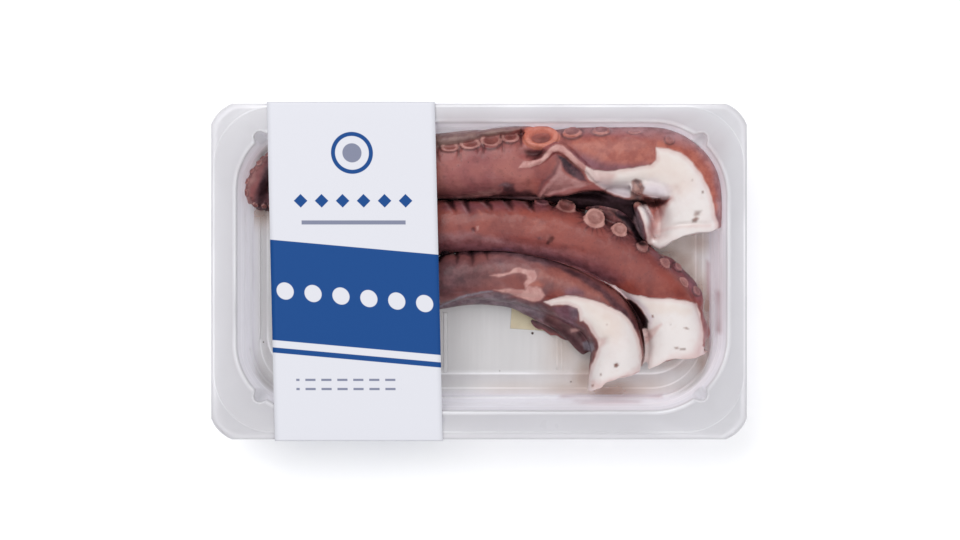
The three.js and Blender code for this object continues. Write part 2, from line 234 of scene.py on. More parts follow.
# ------------------------------------------------------------------------------- finishes
class Tint(Enum):
    """The kinds of surface that a patch on an arm can have, some of them painted shade and sheen."""

    FLESH = "flesh"
    CREAM = "cream"
    ROSE = "rose"
    LILAC_SHADE = "lilac_shade"
    BLUSH = "blush"
    HOLLOW_SHADE = "hollow"
    RED = "red"
    AMBER = "amber"
    OLIVE = "olive"
    PURPLE_AND_SHADE = "purple_and_shade"
    PALE = "pale"
    DARK_SKIN_AND_SHADE = "dark_skin_and_shade"
    BLACK = "black_mark_and_shade"
    GREY = "grey"
    RIM = "rim"
    CUP = "cup"
    CREASE = "crease_shade"
    GIANT = "giant"
    SPECK = "speck"
    HAZE_AND_SHEEN = "haze_and_sheen"


@dataclass(frozen=True)
class Coat:
    """One kind of surface, where some kinds are painted shade and sheen: a light and a dark colour that
    mottle each other, and its strength.
    """

    tint: Tint
    light: tuple[float, ...]
    dark: tuple[float, ...]
    share: float = 1.0


SKIN_COATS = (
    Coat(Tint.RED, tone(150, 66, 52), tone(126, 50, 42), 0.75),
    Coat(Tint.AMBER, tone(196, 116, 98), tone(172, 92, 80), 0.95),
    Coat(Tint.OLIVE, tone(152, 130, 122), tone(124, 100, 98), 0.9),
    # Dark purple skin and membrane, and painted shade on the arms' lower sides and in the crevices between
    # them.
    Coat(Tint.DARK_SKIN_AND_SHADE, tone(104, 68, 76), tone(58, 36, 46)),
    # Purple skin and web, and painted purple shade along the arms' lower sides and between them.
    Coat(Tint.PURPLE_AND_SHADE, tone(134, 90, 108), tone(110, 70, 84), 0.9),
    # Painted shade in creases, notches and grooves, round the suckers' bases and in their holes.
    Coat(Tint.CREASE, tone(52, 26, 32), tone(40, 20, 26), 0.85),
    # Pale skin and web edges, and a few painted glints and highlight streaks.
    Coat(Tint.PALE, tone(230, 180, 172), tone(208, 150, 144)),
    Coat(Tint.RIM, tone(222, 170, 160), tone(196, 138, 130), 0.95),
    Coat(Tint.CUP, tone(160, 100, 92), tone(128, 74, 68), 0.95),
    Coat(Tint.GIANT, tone(226, 146, 128), tone(208, 118, 98)),
    # Painted haze and sheen: a pale cast along the arms' edges by the tray's wall, and highlight streaks
    # beside creases.
    Coat(Tint.HAZE_AND_SHEEN, tone(190, 150, 152), tone(156, 116, 120), 0.9),
    # Grey skin and membrane, and a few painted grey-blue highlight streaks.
    Coat(Tint.GREY, tone(160, 148, 158), tone(120, 108, 118), 0.95),
)
FLESH_COATS = (
    Coat(Tint.CREAM, tone(248, 232, 220), tone(240, 217, 202), 0.9),
    Coat(Tint.ROSE, tone(234, 200, 194), tone(218, 172, 166), 0.75),
    # Painted lilac shade on the flesh's shaded sides and folds.
    Coat(Tint.LILAC_SHADE, tone(226, 212, 221), tone(196, 176, 190), 0.75),
    Coat(Tint.BLUSH, tone(206, 150, 142), tone(176, 116, 112), 0.9),
)
LAST_COATS = (
    Coat(Tint.SPECK, tone(150, 82, 46), tone(106, 50, 34), 0.9),
    # Painted grey-brown shade in the hollow of the upper arm's cut flesh.
    Coat(Tint.HOLLOW_SHADE, tone(176, 126, 116), tone(98, 62, 64), 0.95),
    # Painted black shade in the gaps between arms, under flaps and in notches, and a few real black marks.
    Coat(Tint.BLACK, tone(34, 22, 30), tone(18, 10, 15), 0.97),
)


@dataclass(frozen=True)
class OctopusFinish:
    """Wet cooked octopus: mottled red-brown skin, pale cut flesh and everything between, with painted shade
    and sheen.
    """

    name: str
    warm: tuple[float, ...]
    deep: tuple[float, ...]
    dark: tuple[float, ...] = tone(84, 50, 54)
    gloss: float = 0.34

    def build(self) -> bpy.types.Material:
        """Builds the material.

        Returns:
            The material, which reads the arm's masks.
        """
        g = Graph(self.name)
        place = g.place()
        blots = g.noise(place, 16, 3, 0.55)
        mottle = g.noise(place, 4.2, 4, 0.6)
        grain = g.noise(place, 0.9, 3, 0.6)
        freckle = g.cells(place, 1.5)
        skin = g.mix(blots.between(0.32, 0.68), self.warm, self.deep)
        skin = g.mix(mottle.between(0.5, 0.75) * 0.3, skin, self.dark)
        skin = g.mix(mottle.between(0.46, 0.28) * 0.25, skin, tone(186, 116, 106))
        skin = g.mix(freckle.between(0.3, 0.12) * grain.between(0.45, 0.62) * 0.4, skin, self.dark)
        skin = self._dressed(g, skin, SKIN_COATS, mottle)
        flesh = g.mix(blots.between(0.4, 0.7), tone(252, 244, 241), tone(247, 234, 231))
        flesh = g.mix(mottle.between(0.5, 0.8) * 0.3, flesh, tone(238, 220, 213))
        flesh = self._dressed(g, flesh, FLESH_COATS, g.noise(place, 7, 1, 0.4))
        colour = g.mix(g.mask(Tint.FLESH.value), skin, flesh)
        colour = self._dressed(g, colour, LAST_COATS, mottle)
        bare = 1 - g.mask(Tint.FLESH.value)
        # Painted shade, with the dark skin and marks, is rougher and loses its coat, so it stays dark.
        dark_and_shade = g.mask(Tint.BLACK.value).math("MAXIMUM", g.mask(Tint.DARK_SKIN_AND_SHADE.value) * 0.7)
        wrinkle = grain * (0.2 + 0.3 * bare) + mottle * 0.5 + freckle * (0.25 * bare)
        values = {
            "Base Color": colour,
            "Roughness": self.gloss + 0.16 * mottle + 0.06 * (1 - bare) + 0.15 * dark_and_shade,
            # Metallic darkens what the painted black shade reflects.
            "Metallic": g.mask(Tint.BLACK.value) * 0.85,
            "Coat Weight": (0.14 + 0.16 * blots) * (1 - 0.9 * dark_and_shade),
            "Coat Roughness": 0.16,
            "IOR": 1.38,
            "Normal": g.bump(wrinkle, 0.26, 0.8),
        }
        return g.finish(g.principled(values))

    @staticmethod
    def _dressed(g: Graph, colour: Socket, coats: Sequence[Coat], mottle: Socket) -> Socket:
        """Lays coats over a colour, each where its mask is.

        Args:
            g: the material's nodes.
            colour: the colour below.
            coats: the coats, lowest first.
            mottle: the noise that mixes a coat's two colours.

        Returns:
            The colour with its coats.
        """
        for coat in coats:
            patch = g.mix(mottle.between(0.35, 0.65), coat.light, coat.dark)
            colour = g.mix(g.mask(coat.tint.value) * coat.share, colour, patch)
        return colour


@dataclass(frozen=True)
class SheetFinish:
    """Clear thermoformed sheet with a milky cast, cloudier on its floor and its bends."""

    name: str = "Milky_Tray_Sheet"
    label: tuple[float, ...] = (22.0, -20.5, 16.0, 11.0, -0.07)

    def build(self) -> bpy.types.Material:
        """Builds the material.

        Returns:
            The material, which reads the masks on the tray's mesh.
        """
        g = Graph(self.name)
        place = g.place()
        streaks = g.noise(g.stretched(place, (1, 0.06, 1)), 2.6, 3, 0.6)
        cloud = g.noise(place, 22, 3, 0.5)
        floor = g.mask("floor")
        colour = g.mix(cloud, tone(228, 226, 230), tone(220, 218, 222))
        # The walls are painted lighter, standing in for light that comes through the sheet.
        colour = g.mix(g.mask("wall") * 0.8, colour, tone(240, 239, 246))
        ground = g.mix(streaks.between(0.3, 0.75), tone(220, 218, 218), tone(226, 224, 224))
        colour = g.mix(floor, colour, ground)
        # Painted highlights along the sheet's bends and painted shade at the foot of its wall.
        colour = g.mix(g.mask("bend") * 0.65, colour, tone(250, 250, 252))
        colour = g.mix(g.mask("shade") * 0.6, colour, tone(176, 168, 178))
        # A mauve tint on the wall, where the tray's mauve outlines lie.
        colour = g.mix(g.mask("mauve_tint"), colour, tone(176, 142, 150))
        cover = 0.6 + 0.14 * floor + 0.3 * g.mask("bend") + 0.2 * g.mask("shade") + 0.06 * cloud
        cover = cover * (1 - 0.85 * self._over_label(g, place))
        # A painted glow from the walls and the bends, standing in for light that passes through the milky
        # sheet.
        lit = (g.mask("wall") * (0.9 - 0.6 * floor)).math("MAXIMUM", g.mask("bend") * 0.8)
        glow = g.mix(lit, tone(0, 0, 0), colour)
        values = {
            "Base Color": colour,
            "Roughness": 0.24 + 0.12 * cloud,
            "IOR": 1.5,
            "Alpha": cover,
            "Emission Color": glow,
            "Emission Strength": 0.24,
            "Normal": g.bump(streaks, 0.05, 0.5),
        }
        return g.finish(g.principled(values))

    def _over_label(self, g: Graph, place: Socket) -> Socket:
        """Where the sheet sticks to the label under it and turns clear.

        Args:
            g: the material's nodes.
            place: the place on the tray.

        Returns:
            1 over the label, else 0.
        """
        x, y, length, width, turn = self.label
        east, north = g.axis(place, "X") * IN_MM - x, g.axis(place, "Y") * IN_MM - y
        along = (east * math.cos(turn) + north * math.sin(turn)).math("ABSOLUTE")
        across = (north * math.cos(turn) - east * math.sin(turn)).math("ABSOLUTE")
        half_x, half_y = length / 2, width / 2
        return along.between(half_x, half_x - 0.3) * across.between(half_y, half_y - 0.3)


@dataclass(frozen=True)
class FilmFinish:
    """Thin lidding film: clear, with a gloss that grows at a grazing view."""

    name: str = "Clear_Lid_Film"

    def build(self) -> bpy.types.Material:
        """Builds the material.

        Returns:
            The material.
        """
        g = Graph(self.name)
        ripple = g.noise(g.place(), 7, 2, 0.4)
        sheen = g.node("ShaderNodeFresnel", {}, {"IOR": 1.4})
        clear = g.node("ShaderNodeBsdfTransparent", {}, {"Color": (0.99, 0.99, 0.992, 1)})
        values = {
            "Base Color": tone(90, 92, 96),
            "Roughness": 0.12 + 0.08 * ripple,
            "IOR": 1.45,
            "Normal": g.bump(ripple, 0.12, 0.5),
        }
        gloss = g.principled(values)
        share = ((sheen - 0.028) * 0.9).math("MAXIMUM", 0.0)
        return g.finish(g.node("ShaderNodeMixShader", {}, {0: share, 1: clear, 2: gloss}))


@dataclass(frozen=True)
class BoardFinish:
    """Coated white board with a plain print of blue and grey fields."""

    name: str
    skew: float
    left: float
    width: float
    white: tuple[float, ...] = tone(203, 203, 209)
    blue: tuple[float, ...] = tone(0, 62, 124)
    grey: tuple[float, ...] = tone(118, 122, 142)
    badge_at: float = 52.0
    badge_radii: tuple[float, float, float] = (4.2, 7.4, 9.2)
    diamonds_at: float = 31.0
    diamond_pitch: float = 9.2
    bar: tuple[float, float] = (20.6, 22.4)
    band: tuple[float, float] = (-30.0, 14.0)
    band_slope: float = 0.09
    discs_at: float = -8.0
    disc_pitch: float = 12.2
    disc_edge: tuple[float, float] = (3.9, 3.6)
    stripe: tuple[float, float] = (-35.5, -33.2)
    dash_rows: tuple[tuple[float, float], ...] = ((-48.0, -47.0), (-52.0, -51.0))
    dash_pitch: float = 7.0
    dash_ends: tuple[float, float] = (10.0, 56.0)
    side_stripe: tuple[float, float] = (9.0, 13.0)

    def build(self) -> bpy.types.Material:
        """Builds the material.

        Returns:
            The material, with its print laid out from the sleeve's own edges.
        """
        g = Graph(self.name)
        place = g.place()
        y = g.axis(place, "Y") * IN_MM
        x = g.axis(place, "X") * IN_MM - self.left - y * self.skew
        up = g.axis(g.node("ShaderNodeNewGeometry", output="Normal"), "Z")
        top = g.axis(place, "Z").between(0.0285, 0.0292) * up.between(-0.5, 0.5)
        fibre = g.noise(place, 0.8, 3, 0.6)
        colour = g.mix(fibre * 0.16, self.white, tone(200, 203, 213))
        for print_colour, share in ((self.blue, self._blue(x, y)), (self.grey, self._grey(x, y))):
            colour = g.mix(share * top, colour, print_colour)
        side = self._span(y.math("ABSOLUTE"), 55, 80) * (1 - top)
        stripe = self._span(g.axis(place, "Z") * IN_MM, *self.side_stripe)
        colour = g.mix(side * stripe, colour, self.blue)
        values = {
            "Base Color": colour,
            "Roughness": 0.42 + 0.08 * fibre,
            "IOR": 1.3,
            "Normal": g.bump(fibre, 0.03, 0.5),
        }
        return g.finish(g.principled(values))

    @staticmethod
    def _span(value: Socket, low: float, high: float, soft: float = 0.12) -> Socket:
        """One where a value is between two others, with a narrow soft edge."""
        return value.between(low - soft, low + soft) * value.between(high + soft, high - soft)

    def _ring(self, x: Socket, y: Socket, disc: tuple[float, float, float, float]) -> Socket:
        """A printed ring, or a disc where its inner radius is 0.

        Args:
            x: the place across the upper panel, in millimetres.
            y: the place along it.
            disc: the middle's x and y, then the inner and outer radius.

        Returns:
            1 on the ring, else 0.
        """
        middle_x, middle_y, inner, outer = disc
        far = ((x - middle_x) * (x - middle_x) + (y - middle_y) * (y - middle_y)).math("SQRT")
        return self._span(far, inner if inner else -1, outer)

    def _blue(self, x: Socket, y: Socket) -> Socket:
        """The blue fields: a badge ring, a row of diamonds and a wide band with pale discs cut out.

        Args:
            x: the place across the upper panel, in millimetres.
            y: the place along it.

        Returns:
            1 on the blue fields, else 0.
        """
        badge = self._ring(x, y, (self.width / 2, self.badge_at, *self.badge_radii[1:]))
        pitch = self.diamond_pitch
        cell = (x / pitch).math("FRACT") * pitch - pitch / 2
        diamond = (cell.math("ABSOLUTE") + (y - self.diamonds_at).math("ABSOLUTE")).between(3.1, 2.9)
        row = diamond * self._span(x, pitch, self.width - pitch)
        slope = y + x * self.band_slope
        band = self._span(slope, *self.band)
        disc_x = (x / self.disc_pitch).math("FRACT") * self.disc_pitch - self.disc_pitch / 2
        line = slope - self.discs_at
        discs = (disc_x * disc_x + line * line).math("SQRT").between(*self.disc_edge)
        stripe = self._span(slope, *self.stripe)
        return badge.math("MAXIMUM", row).math("MAXIMUM", band * (1 - discs)).math("MAXIMUM", stripe)

    def _grey(self, x: Socket, y: Socket) -> Socket:
        """The grey fields: a disc in the badge, one wide bar and two rows of short dashes.

        Args:
            x: the place across the upper panel, in millimetres.
            y: the place along it.

        Returns:
            1 on the grey fields, else 0.
        """
        disc = self._ring(x, y, (self.width / 2, self.badge_at, 0, self.badge_radii[0]))
        bar = self._span(x, 14, self.width - 14) * self._span(y, *self.bar)
        dash = (x / self.dash_pitch).math("FRACT").between(0.66, 0.62)
        first, second = (self._span(y, *row) for row in self.dash_rows)
        dashes = dash * first.math("MAXIMUM", second) * self._span(x, *self.dash_ends)
        return disc.math("MAXIMUM", bar).math("MAXIMUM", dashes)


@dataclass(frozen=True)
class PlainFinish:
    """A plain surface with a soft cloud of a second colour and a fine grain."""

    name: str
    colour: tuple[float, ...]
    second: tuple[float, ...]
    size_mm: float = 6.0
    rough: float = 0.5
    depth_mm: float = 0.03

    def build(self) -> bpy.types.Material:
        """Builds the material.

        Returns:
            The material.
        """
        g = Graph(self.name)
        cloud = g.noise(g.place(), self.size_mm, 4, 0.6)
        values = {
            "Base Color": g.mix(cloud.between(0.35, 0.65), self.colour, self.second),
            "Roughness": self.rough + 0.08 * cloud,
            "Normal": g.bump(cloud, self.depth_mm, 0.5),
        }
        return g.finish(g.principled(values))


@dataclass(frozen=True)
class JuiceFinish:
    """A thin film of brown cooking juice, which fades out at its edges."""

    name: str = "Cooking_Juice"

    def build(self) -> bpy.types.Material:
        """Builds the material.

        Returns:
            The material, which reads the pool's strength from the mesh.
        """
        g = Graph(self.name)
        cloud = g.noise(g.place(), 9, 4, 0.55)
        strength = g.mask("strength")
        colour = g.mix(strength, tone(238, 204, 182), tone(164, 118, 94))
        values = {
            "Base Color": g.mix(cloud * 0.2, colour, tone(184, 160, 136)),
            "Roughness": 0.12 + 0.05 * cloud,
            "IOR": 1.34,
            "Alpha": strength * (0.62 + 0.3 * cloud),
        }
        return g.finish(g.principled(values))


# ------------------------------------------------------------------------------- geometry tools
def piece(name: str, points: Points, faces: Sequence[Sequence[int]]) -> bpy.types.Object:
    """Makes a mesh object.

    Args:
        name: the piece's name.
        points: its points, in millimetres.
        faces: its faces, as lists of point numbers.

    Returns:
        The object, shaded smooth.
    """
    mesh = bpy.data.meshes.new(name)
    mesh.from_pydata((np.asarray(points, float) * MM).tolist(), [], [list(f) for f in faces])
    mesh.validate()
    mesh.shade_smooth()
    made = bpy.data.objects.new(name, mesh)
    bpy.context.scene.collection.objects.link(made)
    return made


def loft(loops: Sequence[Points], closed_ends: bool = True) -> tuple[Points, list[tuple[int, ...]]]:
    """Joins a stack of equal loops into a skin.

    Args:
        loops: the loops, each an array of points that goes counter-clockwise seen from the last.
        closed_ends: whether each end gets a fan of faces round its middle point.

    Returns:
        The skin's points and faces.
    """
    count = len(loops[0])
    points = [np.asarray(loop, float) for loop in loops]
    faces = []
    for row in range(len(loops) - 1):
        low, high = row * count, (row + 1) * count
        for i in range(count):
            j = (i + 1) % count
            faces.append((low + i, low + j, high + j, high + i))
    if closed_ends:
        total = count * len(loops)
        end = count * (len(loops) - 1)
        points += [loops[0].mean(0)[None], loops[-1].mean(0)[None]]
        for i in range(count):
            j = (i + 1) % count
            faces.append((total, j, i))
            faces.append((total + 1, end + i, end + j))
    return np.vstack(points), faces


def joined(parts: Sequence[tuple[Points, list]]) -> tuple[Points, list[tuple[int, ...]]]:
    """Puts several skins into one list of points and faces.

    Args:
        parts: each skin's points and faces.

    Returns:
        All the points, and the faces by their new numbers.
    """
    points, faces, start = [], [], 0
    for part_points, part_faces in parts:
        points.append(part_points)
        faces += [tuple(start + i for i in face) for face in part_faces]
        start += len(part_points)
    return np.vstack(points), faces


def store(made: bpy.types.Object, name: str, values: Points) -> None:
    """Stores one number per point on a mesh as a mask, for its material to read."""
    layer = made.data.attributes.new(name, "FLOAT", "POINT")
    layer.data.foreach_set("value", np.asarray(values, np.float32))


def place_on_pack(made: bpy.types.Object, finish: bpy.types.Material) -> None:
    """Dresses a piece and lets it ride on the pack's one body.

    Args:
        made: the piece.
        finish: its material.
    """
    made.data.materials.clear()
    made.data.materials.append(finish)
    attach(made, "root")


def coordinates(made: bpy.types.Object) -> Points:
    """A mesh's points, in millimetres.

    Args:
        made: the piece.

    Returns:
        One row of x, y and z per point.
    """
    flat = np.empty(len(made.data.vertices) * 3, np.float32)
    made.data.vertices.foreach_get("co", flat)
    return flat.reshape(-1, 3).astype(float) / MM


def move_points(made: bpy.types.Object, points: Points) -> None:
    """Gives a mesh new places for its points, in millimetres."""
    made.data.vertices.foreach_set("co", (points * MM).astype(np.float32).ravel())
    made.data.update()


def normals(made: bpy.types.Object) -> Points:
    """A mesh's point normals.

    Args:
        made: the piece.

    Returns:
        One row of x, y and z per point.
    """
    flat = np.empty(len(made.data.vertices) * 3, np.float32)
    made.data.vertex_normals.foreach_get("vector", flat)
    return flat.reshape(-1, 3).astype(float)


def around(sides: int) -> Points:
    """Evenly spaced angles once round a circle."""
    return np.linspace(0, 2 * math.pi, sides, endpoint=False)


def step(value: Points, low: float, high: float) -> Points:
    """A smooth step from 0 at low to 1 at high, or down from 1 where low is the larger."""
    t = np.clip((value - low) / (high - low), 0, 1)
    return t * t * (3 - 2 * t)


class SoftNoise:
    """Seeded value noise in space, for relief that is in the mesh itself."""

    LATTICE = 32

    def __init__(self, seed: int) -> None:
        """Draws the lattice from a seed."""
        self.values = np.random.default_rng(seed).uniform(-1, 1, (self.LATTICE,) * 3)

    def at(self, points: Points, size: float) -> Points:
        """Reads the noise.

        Args:
            points: where, in millimetres.
            size: the size of its blots, in millimetres.

        Returns:
            One value from -1 to 1 per point.
        """
        scaled = points / size
        cell = np.floor(scaled).astype(int)
        t = scaled - cell
        t = t * t * (3 - 2 * t)
        total = np.zeros(len(points))
        for corner in range(8):
            bits = np.array([corner & 1, corner >> 1 & 1, corner >> 2 & 1])
            weight = np.where(bits, t, 1 - t).prod(1)
            at = (cell + bits) % self.LATTICE
            total += weight * self.values[at[:, 0], at[:, 1], at[:, 2]]
        return total


NOISE = SoftNoise(SEED)


def depth_inside(points: Points, outline: Outline) -> Points:
    """How far points lie inside an outline seen from above, less than 0 outside it.

    Args:
        points: the points, in millimetres.
        outline: the outline's corners.

    Returns:
        One distance per point, in millimetres.
    """
    x, y = points[:, 0], points[:, 1]
    nearest = np.full(len(points), np.inf)
    inside = np.zeros(len(points), bool)
    for (ax, ay), (bx, by) in zip(outline, outline[1:] + outline[:1]):
        edge = np.array([bx - ax, by - ay])
        t = np.clip(((x - ax) * edge[0] + (y - ay) * edge[1]) / (edge @ edge), 0, 1)
        nearest = np.minimum(nearest, np.hypot(x - ax - t * edge[0], y - ay - t * edge[1]))
        crosses = (ay > y) != (by > y)
        inside ^= crosses & (x < ax + (y - ay) / (by - ay or TINY) * edge[0])
    return np.where(inside, nearest, -nearest)


def outline_mask(points: Points, outline: Outline, soft: float) -> Points:
    """Whether points lie inside an outline, from 0 to 1 across an edge this soft."""
    return step(depth_inside(points, outline), -soft / 2, soft / 2)


# ------------------------------------------------------------------------------- tray
@dataclass(frozen=True)
class Level:
    """One loop of the tray's inner face: its distance in from the mouth and its height.

    The lug is 1 where the corner pockets show, and the front is how much further in that side lies.
    Bend is a painted highlight and shade a painted shade, which brighten or darken the sheet there.
    """

    inset: float
    z: float
    lug: float = 0.0
    front: float = 0.0
    bend: float = 0.0
    shade: float = 0.0


@dataclass
class Tray:
    """The thermoformed tray: flange, mouth with round corner pockets, wall, channel and floor."""

    length: float = 235.0
    width: float = 147.2
    top: float = 30.0
    foot: float = 0.5
    sheet: float = 0.5
    mouth_length: float = 216.0
    mouth_width: float = 127.4
    mouth_radii: tuple[float, float] = (30.0, 33.0)
    mouth_x: float = 1.2
    mouth_y: float = 2.1
    lug_radius: float = 2.9
    lug_outside: float = 0.2
    lug_turn: float = math.radians(50)
    corner_cut: float = 9.2
    corner_bulge: float = 1.4
    seal_radius: float = 26.0
    steps: int = 36
    fill: tuple[int, int] = (50, 22)
    floor_top: float = 2.25
    least_radius: float = 6.0
    lip_drop: float = 0.6
    pocket_reach: tuple[float, float] = (4.6, 3.2)
    # Mauve tints on the wall, each with its strength, its edge's softness and its outline.
    mauve_tints: tuple[tuple[float, float, Outline], ...] = (
        (0.4, 4.0, ((-17.1, 68.6), (92.5, 68.6), (103.9, 58.5), (107.4, 46.7), (103.9, 43.6), (100.0, 54.1),
            (91.6, 63.3), (-17.1, 64.2))),
        (0.5, 4.0, ((102.6, 43.6), (107.0, 46.7), (107.4, -21.3), (103.9, -23.9), (102.6, 9.4))),
        (1.0, 2.0, ((104.2, -7.2), (107.1, -8.1), (106.9, -27.4), (104.6, -28.3))),
        (1.0, 1.6, ((101.0, 4.2), (102.8, 4.2), (102.9, -12.5), (102.8, -32.7), (101.7, -38.8),
            (100.8, -25.6))),
        (0.6, 1.6, ((35.5, -54.6), (53.0, -54.1), (81.1, -54.6), (81.1, -56.1), (53.0, -56.3),
            (35.5, -56.1))),
        (0.6, 2.0, ((41.6, -56.8), (53.0, -56.3), (70.6, -56.8), (70.6, -58.1), (44.3, -58.5))),
        (0.3, 4.0, ((-105.7, 44.5), (-100.4, 53.3), (-95.1, 57.6), (-95.1, 48.9), (-101.3, 35.7),
            (-104.8, 31.3))),
    )

    def levels(self) -> list[Level]:
        """The inner face from the mouth down to the floor's raised panel.

        Returns:
            The levels, the mouth first.
        """
        top, base = self.top, self.foot + self.sheet
        return [
            Level(-1.6, top, 1.0),
            Level(-0.7, top, 1.0, bend=0.5),
            Level(-0.2, top - 0.04, 1.0, bend=1.0),
            Level(0.2, top - 0.3, 1.0, bend=0.9),
            Level(0.6, top - 1.2, 1.0),
            Level(1.1, top - 3.4, 1.0),
            Level(1.9, top - 8.0, 1.0),
            Level(2.1, top - 8.4, bend=0.25),
            Level(2.5, top - 14.0),
            Level(3.1, top - 18.6, bend=0.15),
            Level(3.4, top - 19.2, bend=0.6),
            Level(3.7, top - 20.2, bend=0.1),
            Level(4.4, 5.2),
            Level(5.0, 3.3, bend=0.2),
            Level(5.5, 2.2, bend=0.9),
            Level(5.9, base + 0.7, bend=0.8),
            Level(6.4, base + 0.15, shade=0.6),
            Level(7.6, base, shade=0.1),
            Level(9.3, base, bend=0.2),
            Level(9.9, base, bend=0.8),
            Level(10.5, base, bend=0.2),
            Level(12.4, base + 0.25, front=3.2, shade=0.3),
            Level(13.0, base + 0.95, front=3.3, bend=0.9),
            Level(13.7, self.floor_top, front=3.4, bend=0.3),
            Level(15.0, self.floor_top, front=3.4),
        ]

    def corners(self, point: Callable[[float, int], tuple[float, float]], z: float) -> Points:
        """A loop that asks for each quarter's points by their share and side, and mirrors them.

        Args:
            point: gives a quarter's x and y for a share from 0 to 1 and a side, 1 or -1.
            z: the loop's height.

        Returns:
            The loop's points.
        """
        shares = np.linspace(0, 1, self.steps)
        quarters = []
        for signs in ((1, 1), (-1, 1), (-1, -1), (1, -1)):
            ordered = shares if signs[0] == signs[1] else shares[::-1]
            quarters.append(np.array([point(share, signs[0]) for share in ordered]) * signs)
        loop = []
        for i, quarter in enumerate(quarters):
            ahead = quarters[(i + 1) % 4][0] - quarter[-1]
            between = np.linspace(0, 1, self.fill[i % 2] + 2)[1:-1, None]
            loop += [quarter, quarter[-1] + ahead * between]
        flat = np.vstack(loop)
        return np.column_stack([flat, np.full(len(flat), z)])

    def outline(self, inset: float, z: float) -> Points:
        """The flange's outer edge, with its corners clipped along a shallow bow.

        Args:
            inset: how far inside the edge it lies.
            z: its height.

        Returns:
            The loop's points.
        """
        half_x, half_y = self.length / 2 - inset, self.width / 2 - inset

        def point(share: float, _: int) -> tuple[float, float]:
            """A place on the clipped corner, for a share of the way along it."""
            bow = self.corner_bulge * 4 * share * (1 - share) * math.sqrt(0.5)
            return half_x - self.corner_cut * share + bow, half_y - self.corner_cut * (1 - share) + bow

        return self.corners(point, z)

    def seal(self, grow: float, z: float) -> Points:
        """The loop along the seal's edge on the flange, further in at the front.

        Args:
            grow: how far outside the edge it lies.
            z: its height.

        Returns:
            The loop's points.
        """
        half_x, half_y = self.length / 2 - 1.2 + grow, self.width / 2 - 2.2 + grow
        radius = self.seal_radius + grow

        def point(share: float, _: int) -> tuple[float, float]:
            """A place on the round corner, for a share of the way round it."""
            angle = share * math.pi / 2
            return half_x - radius + radius * math.cos(angle), half_y - radius + radius * math.sin(angle)

        return self.corners(point, z) + (0, 1.0, 0)

    def wall(self, level: Level, out: float = 0.0) -> Points:
        """One loop of the wall.

        Args:
            level: the loop's place in the wall.
            out: how far it is moved out, for the outer face.

        Returns:
            The loop's points.
        """
        inset = level.inset - out
        half_x = self.mouth_length / 2 - inset
        half_y = self.mouth_width / 2 - inset - level.front / 2
        lug = self.lug_radius - 0.5 * level.inset + out

        def point(share: float, side: int) -> tuple[float, float]:
            """A place on the round corner, or on its lug where that lies further out.

            Args:
                share: how far round the corner, from 0 to 1.
                side: 1 at the right, -1 at the left.

            Returns:
                Its x and y, as if in the first quarter.
            """
            mouth = self.mouth_radii[side > 0]
            radius = max(self.least_radius, mouth - inset)
            angle = share * math.pi / 2
            x = half_x - radius + radius * math.cos(angle)
            y = half_y - radius + radius * math.sin(angle)
            lug_at, off = mouth + self.lug_outside, angle - self.lug_turn
            beyond = math.sqrt(max(0.0, lug**2 - (lug_at * math.sin(off)) ** 2))
            if beyond and level.lug:
                pocket = lug_at * math.cos(off) + beyond
                x = max(x, self.mouth_length / 2 - mouth + pocket * math.cos(angle))
                y = max(y, self.mouth_width / 2 - mouth + pocket * math.sin(angle))
            return x, y

        return self.corners(point, level.z) + (self.mouth_x, self.mouth_y + level.front / 2, 0)

    def build(self) -> bpy.types.Object:
        """Builds the tray in place of its CAD node.

        Returns:
            The tray.
        """
        lip, sheet = self.top - self.lip_drop, self.sheet
        levels = self.levels()
        # Each loop comes with its painted highlight (bend) and its painted shade.
        inner = [(self.wall(level), level.bend, level.shade) for level in reversed(levels)]
        rim = [
            (self.seal(-0.5, self.top), 0.25, 0.0),
            (self.seal(0, self.top - 0.05), 0.95, 0.0),
            (self.seal(0.45, lip), 0.5, 0.0),
            (self.outline(0.3, lip), 0.0, 0.0),
            (self.outline(0.0, lip - sheet / 2), 0.0, 0.0),
            (self.outline(0.3, lip - sheet), 0.0, 0.0),
            (self.seal(0.45, lip - sheet), 0.0, 0.0),
            (self.seal(0, self.top - sheet), 0.0, 0.0),
        ]
        outer = [(self.wall(self._dropped(level), sheet * 0.9), level.bend * 0.5, 0.0) for level in levels]
        loops, bend, shade = zip(*(inner + rim + outer)[::-1])
        points, faces = loft(loops)
        count = len(loops[0])
        ribs, rib_faces = joined([(points, faces)] + self._ribs())
        tray = piece("Tray_Sheet", ribs, rib_faces)
        extra = len(ribs) - count * len(loops)
        wobble = 0.75 + 0.5 * NOISE.at(ribs * (1, 1, 0.2), 17)
        # The ribs get a painted highlight too.
        bend = np.concatenate([np.repeat(bend, count), np.zeros(2), np.full(extra - 2, 0.4)])
        store(tray, "bend", np.clip(bend * wobble, 0, 1))
        store(tray, "shade", np.concatenate([np.repeat(shade, count), np.zeros(extra)]) * wobble)
        height = ribs[:, 2]
        inside = outline_mask(ribs, self._plan(8.0), 6.0)
        store(tray, "floor", step(height, 12.0, 1.5) * inside)
        # The wall mask paints the wall lighter and gives it its painted glow, less round the corner pockets.
        store(tray, "wall", step(height, 29.6, 26.0) * (1 - 0.5 * self._near_lug(ribs)))
        mauve_tint = [share * outline_mask(ribs, outline, soft) for share, soft, outline in self.mauve_tints]
        within = np.arange(len(ribs)) >= count * len(outer)
        store(tray, "mauve_tint", np.max(mauve_tint, axis=0) * within * (0.8 + 0.3 * NOISE.at(ribs, 9)))
        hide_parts("tray")
        place_on_pack(tray, SheetFinish().build())
        return tray

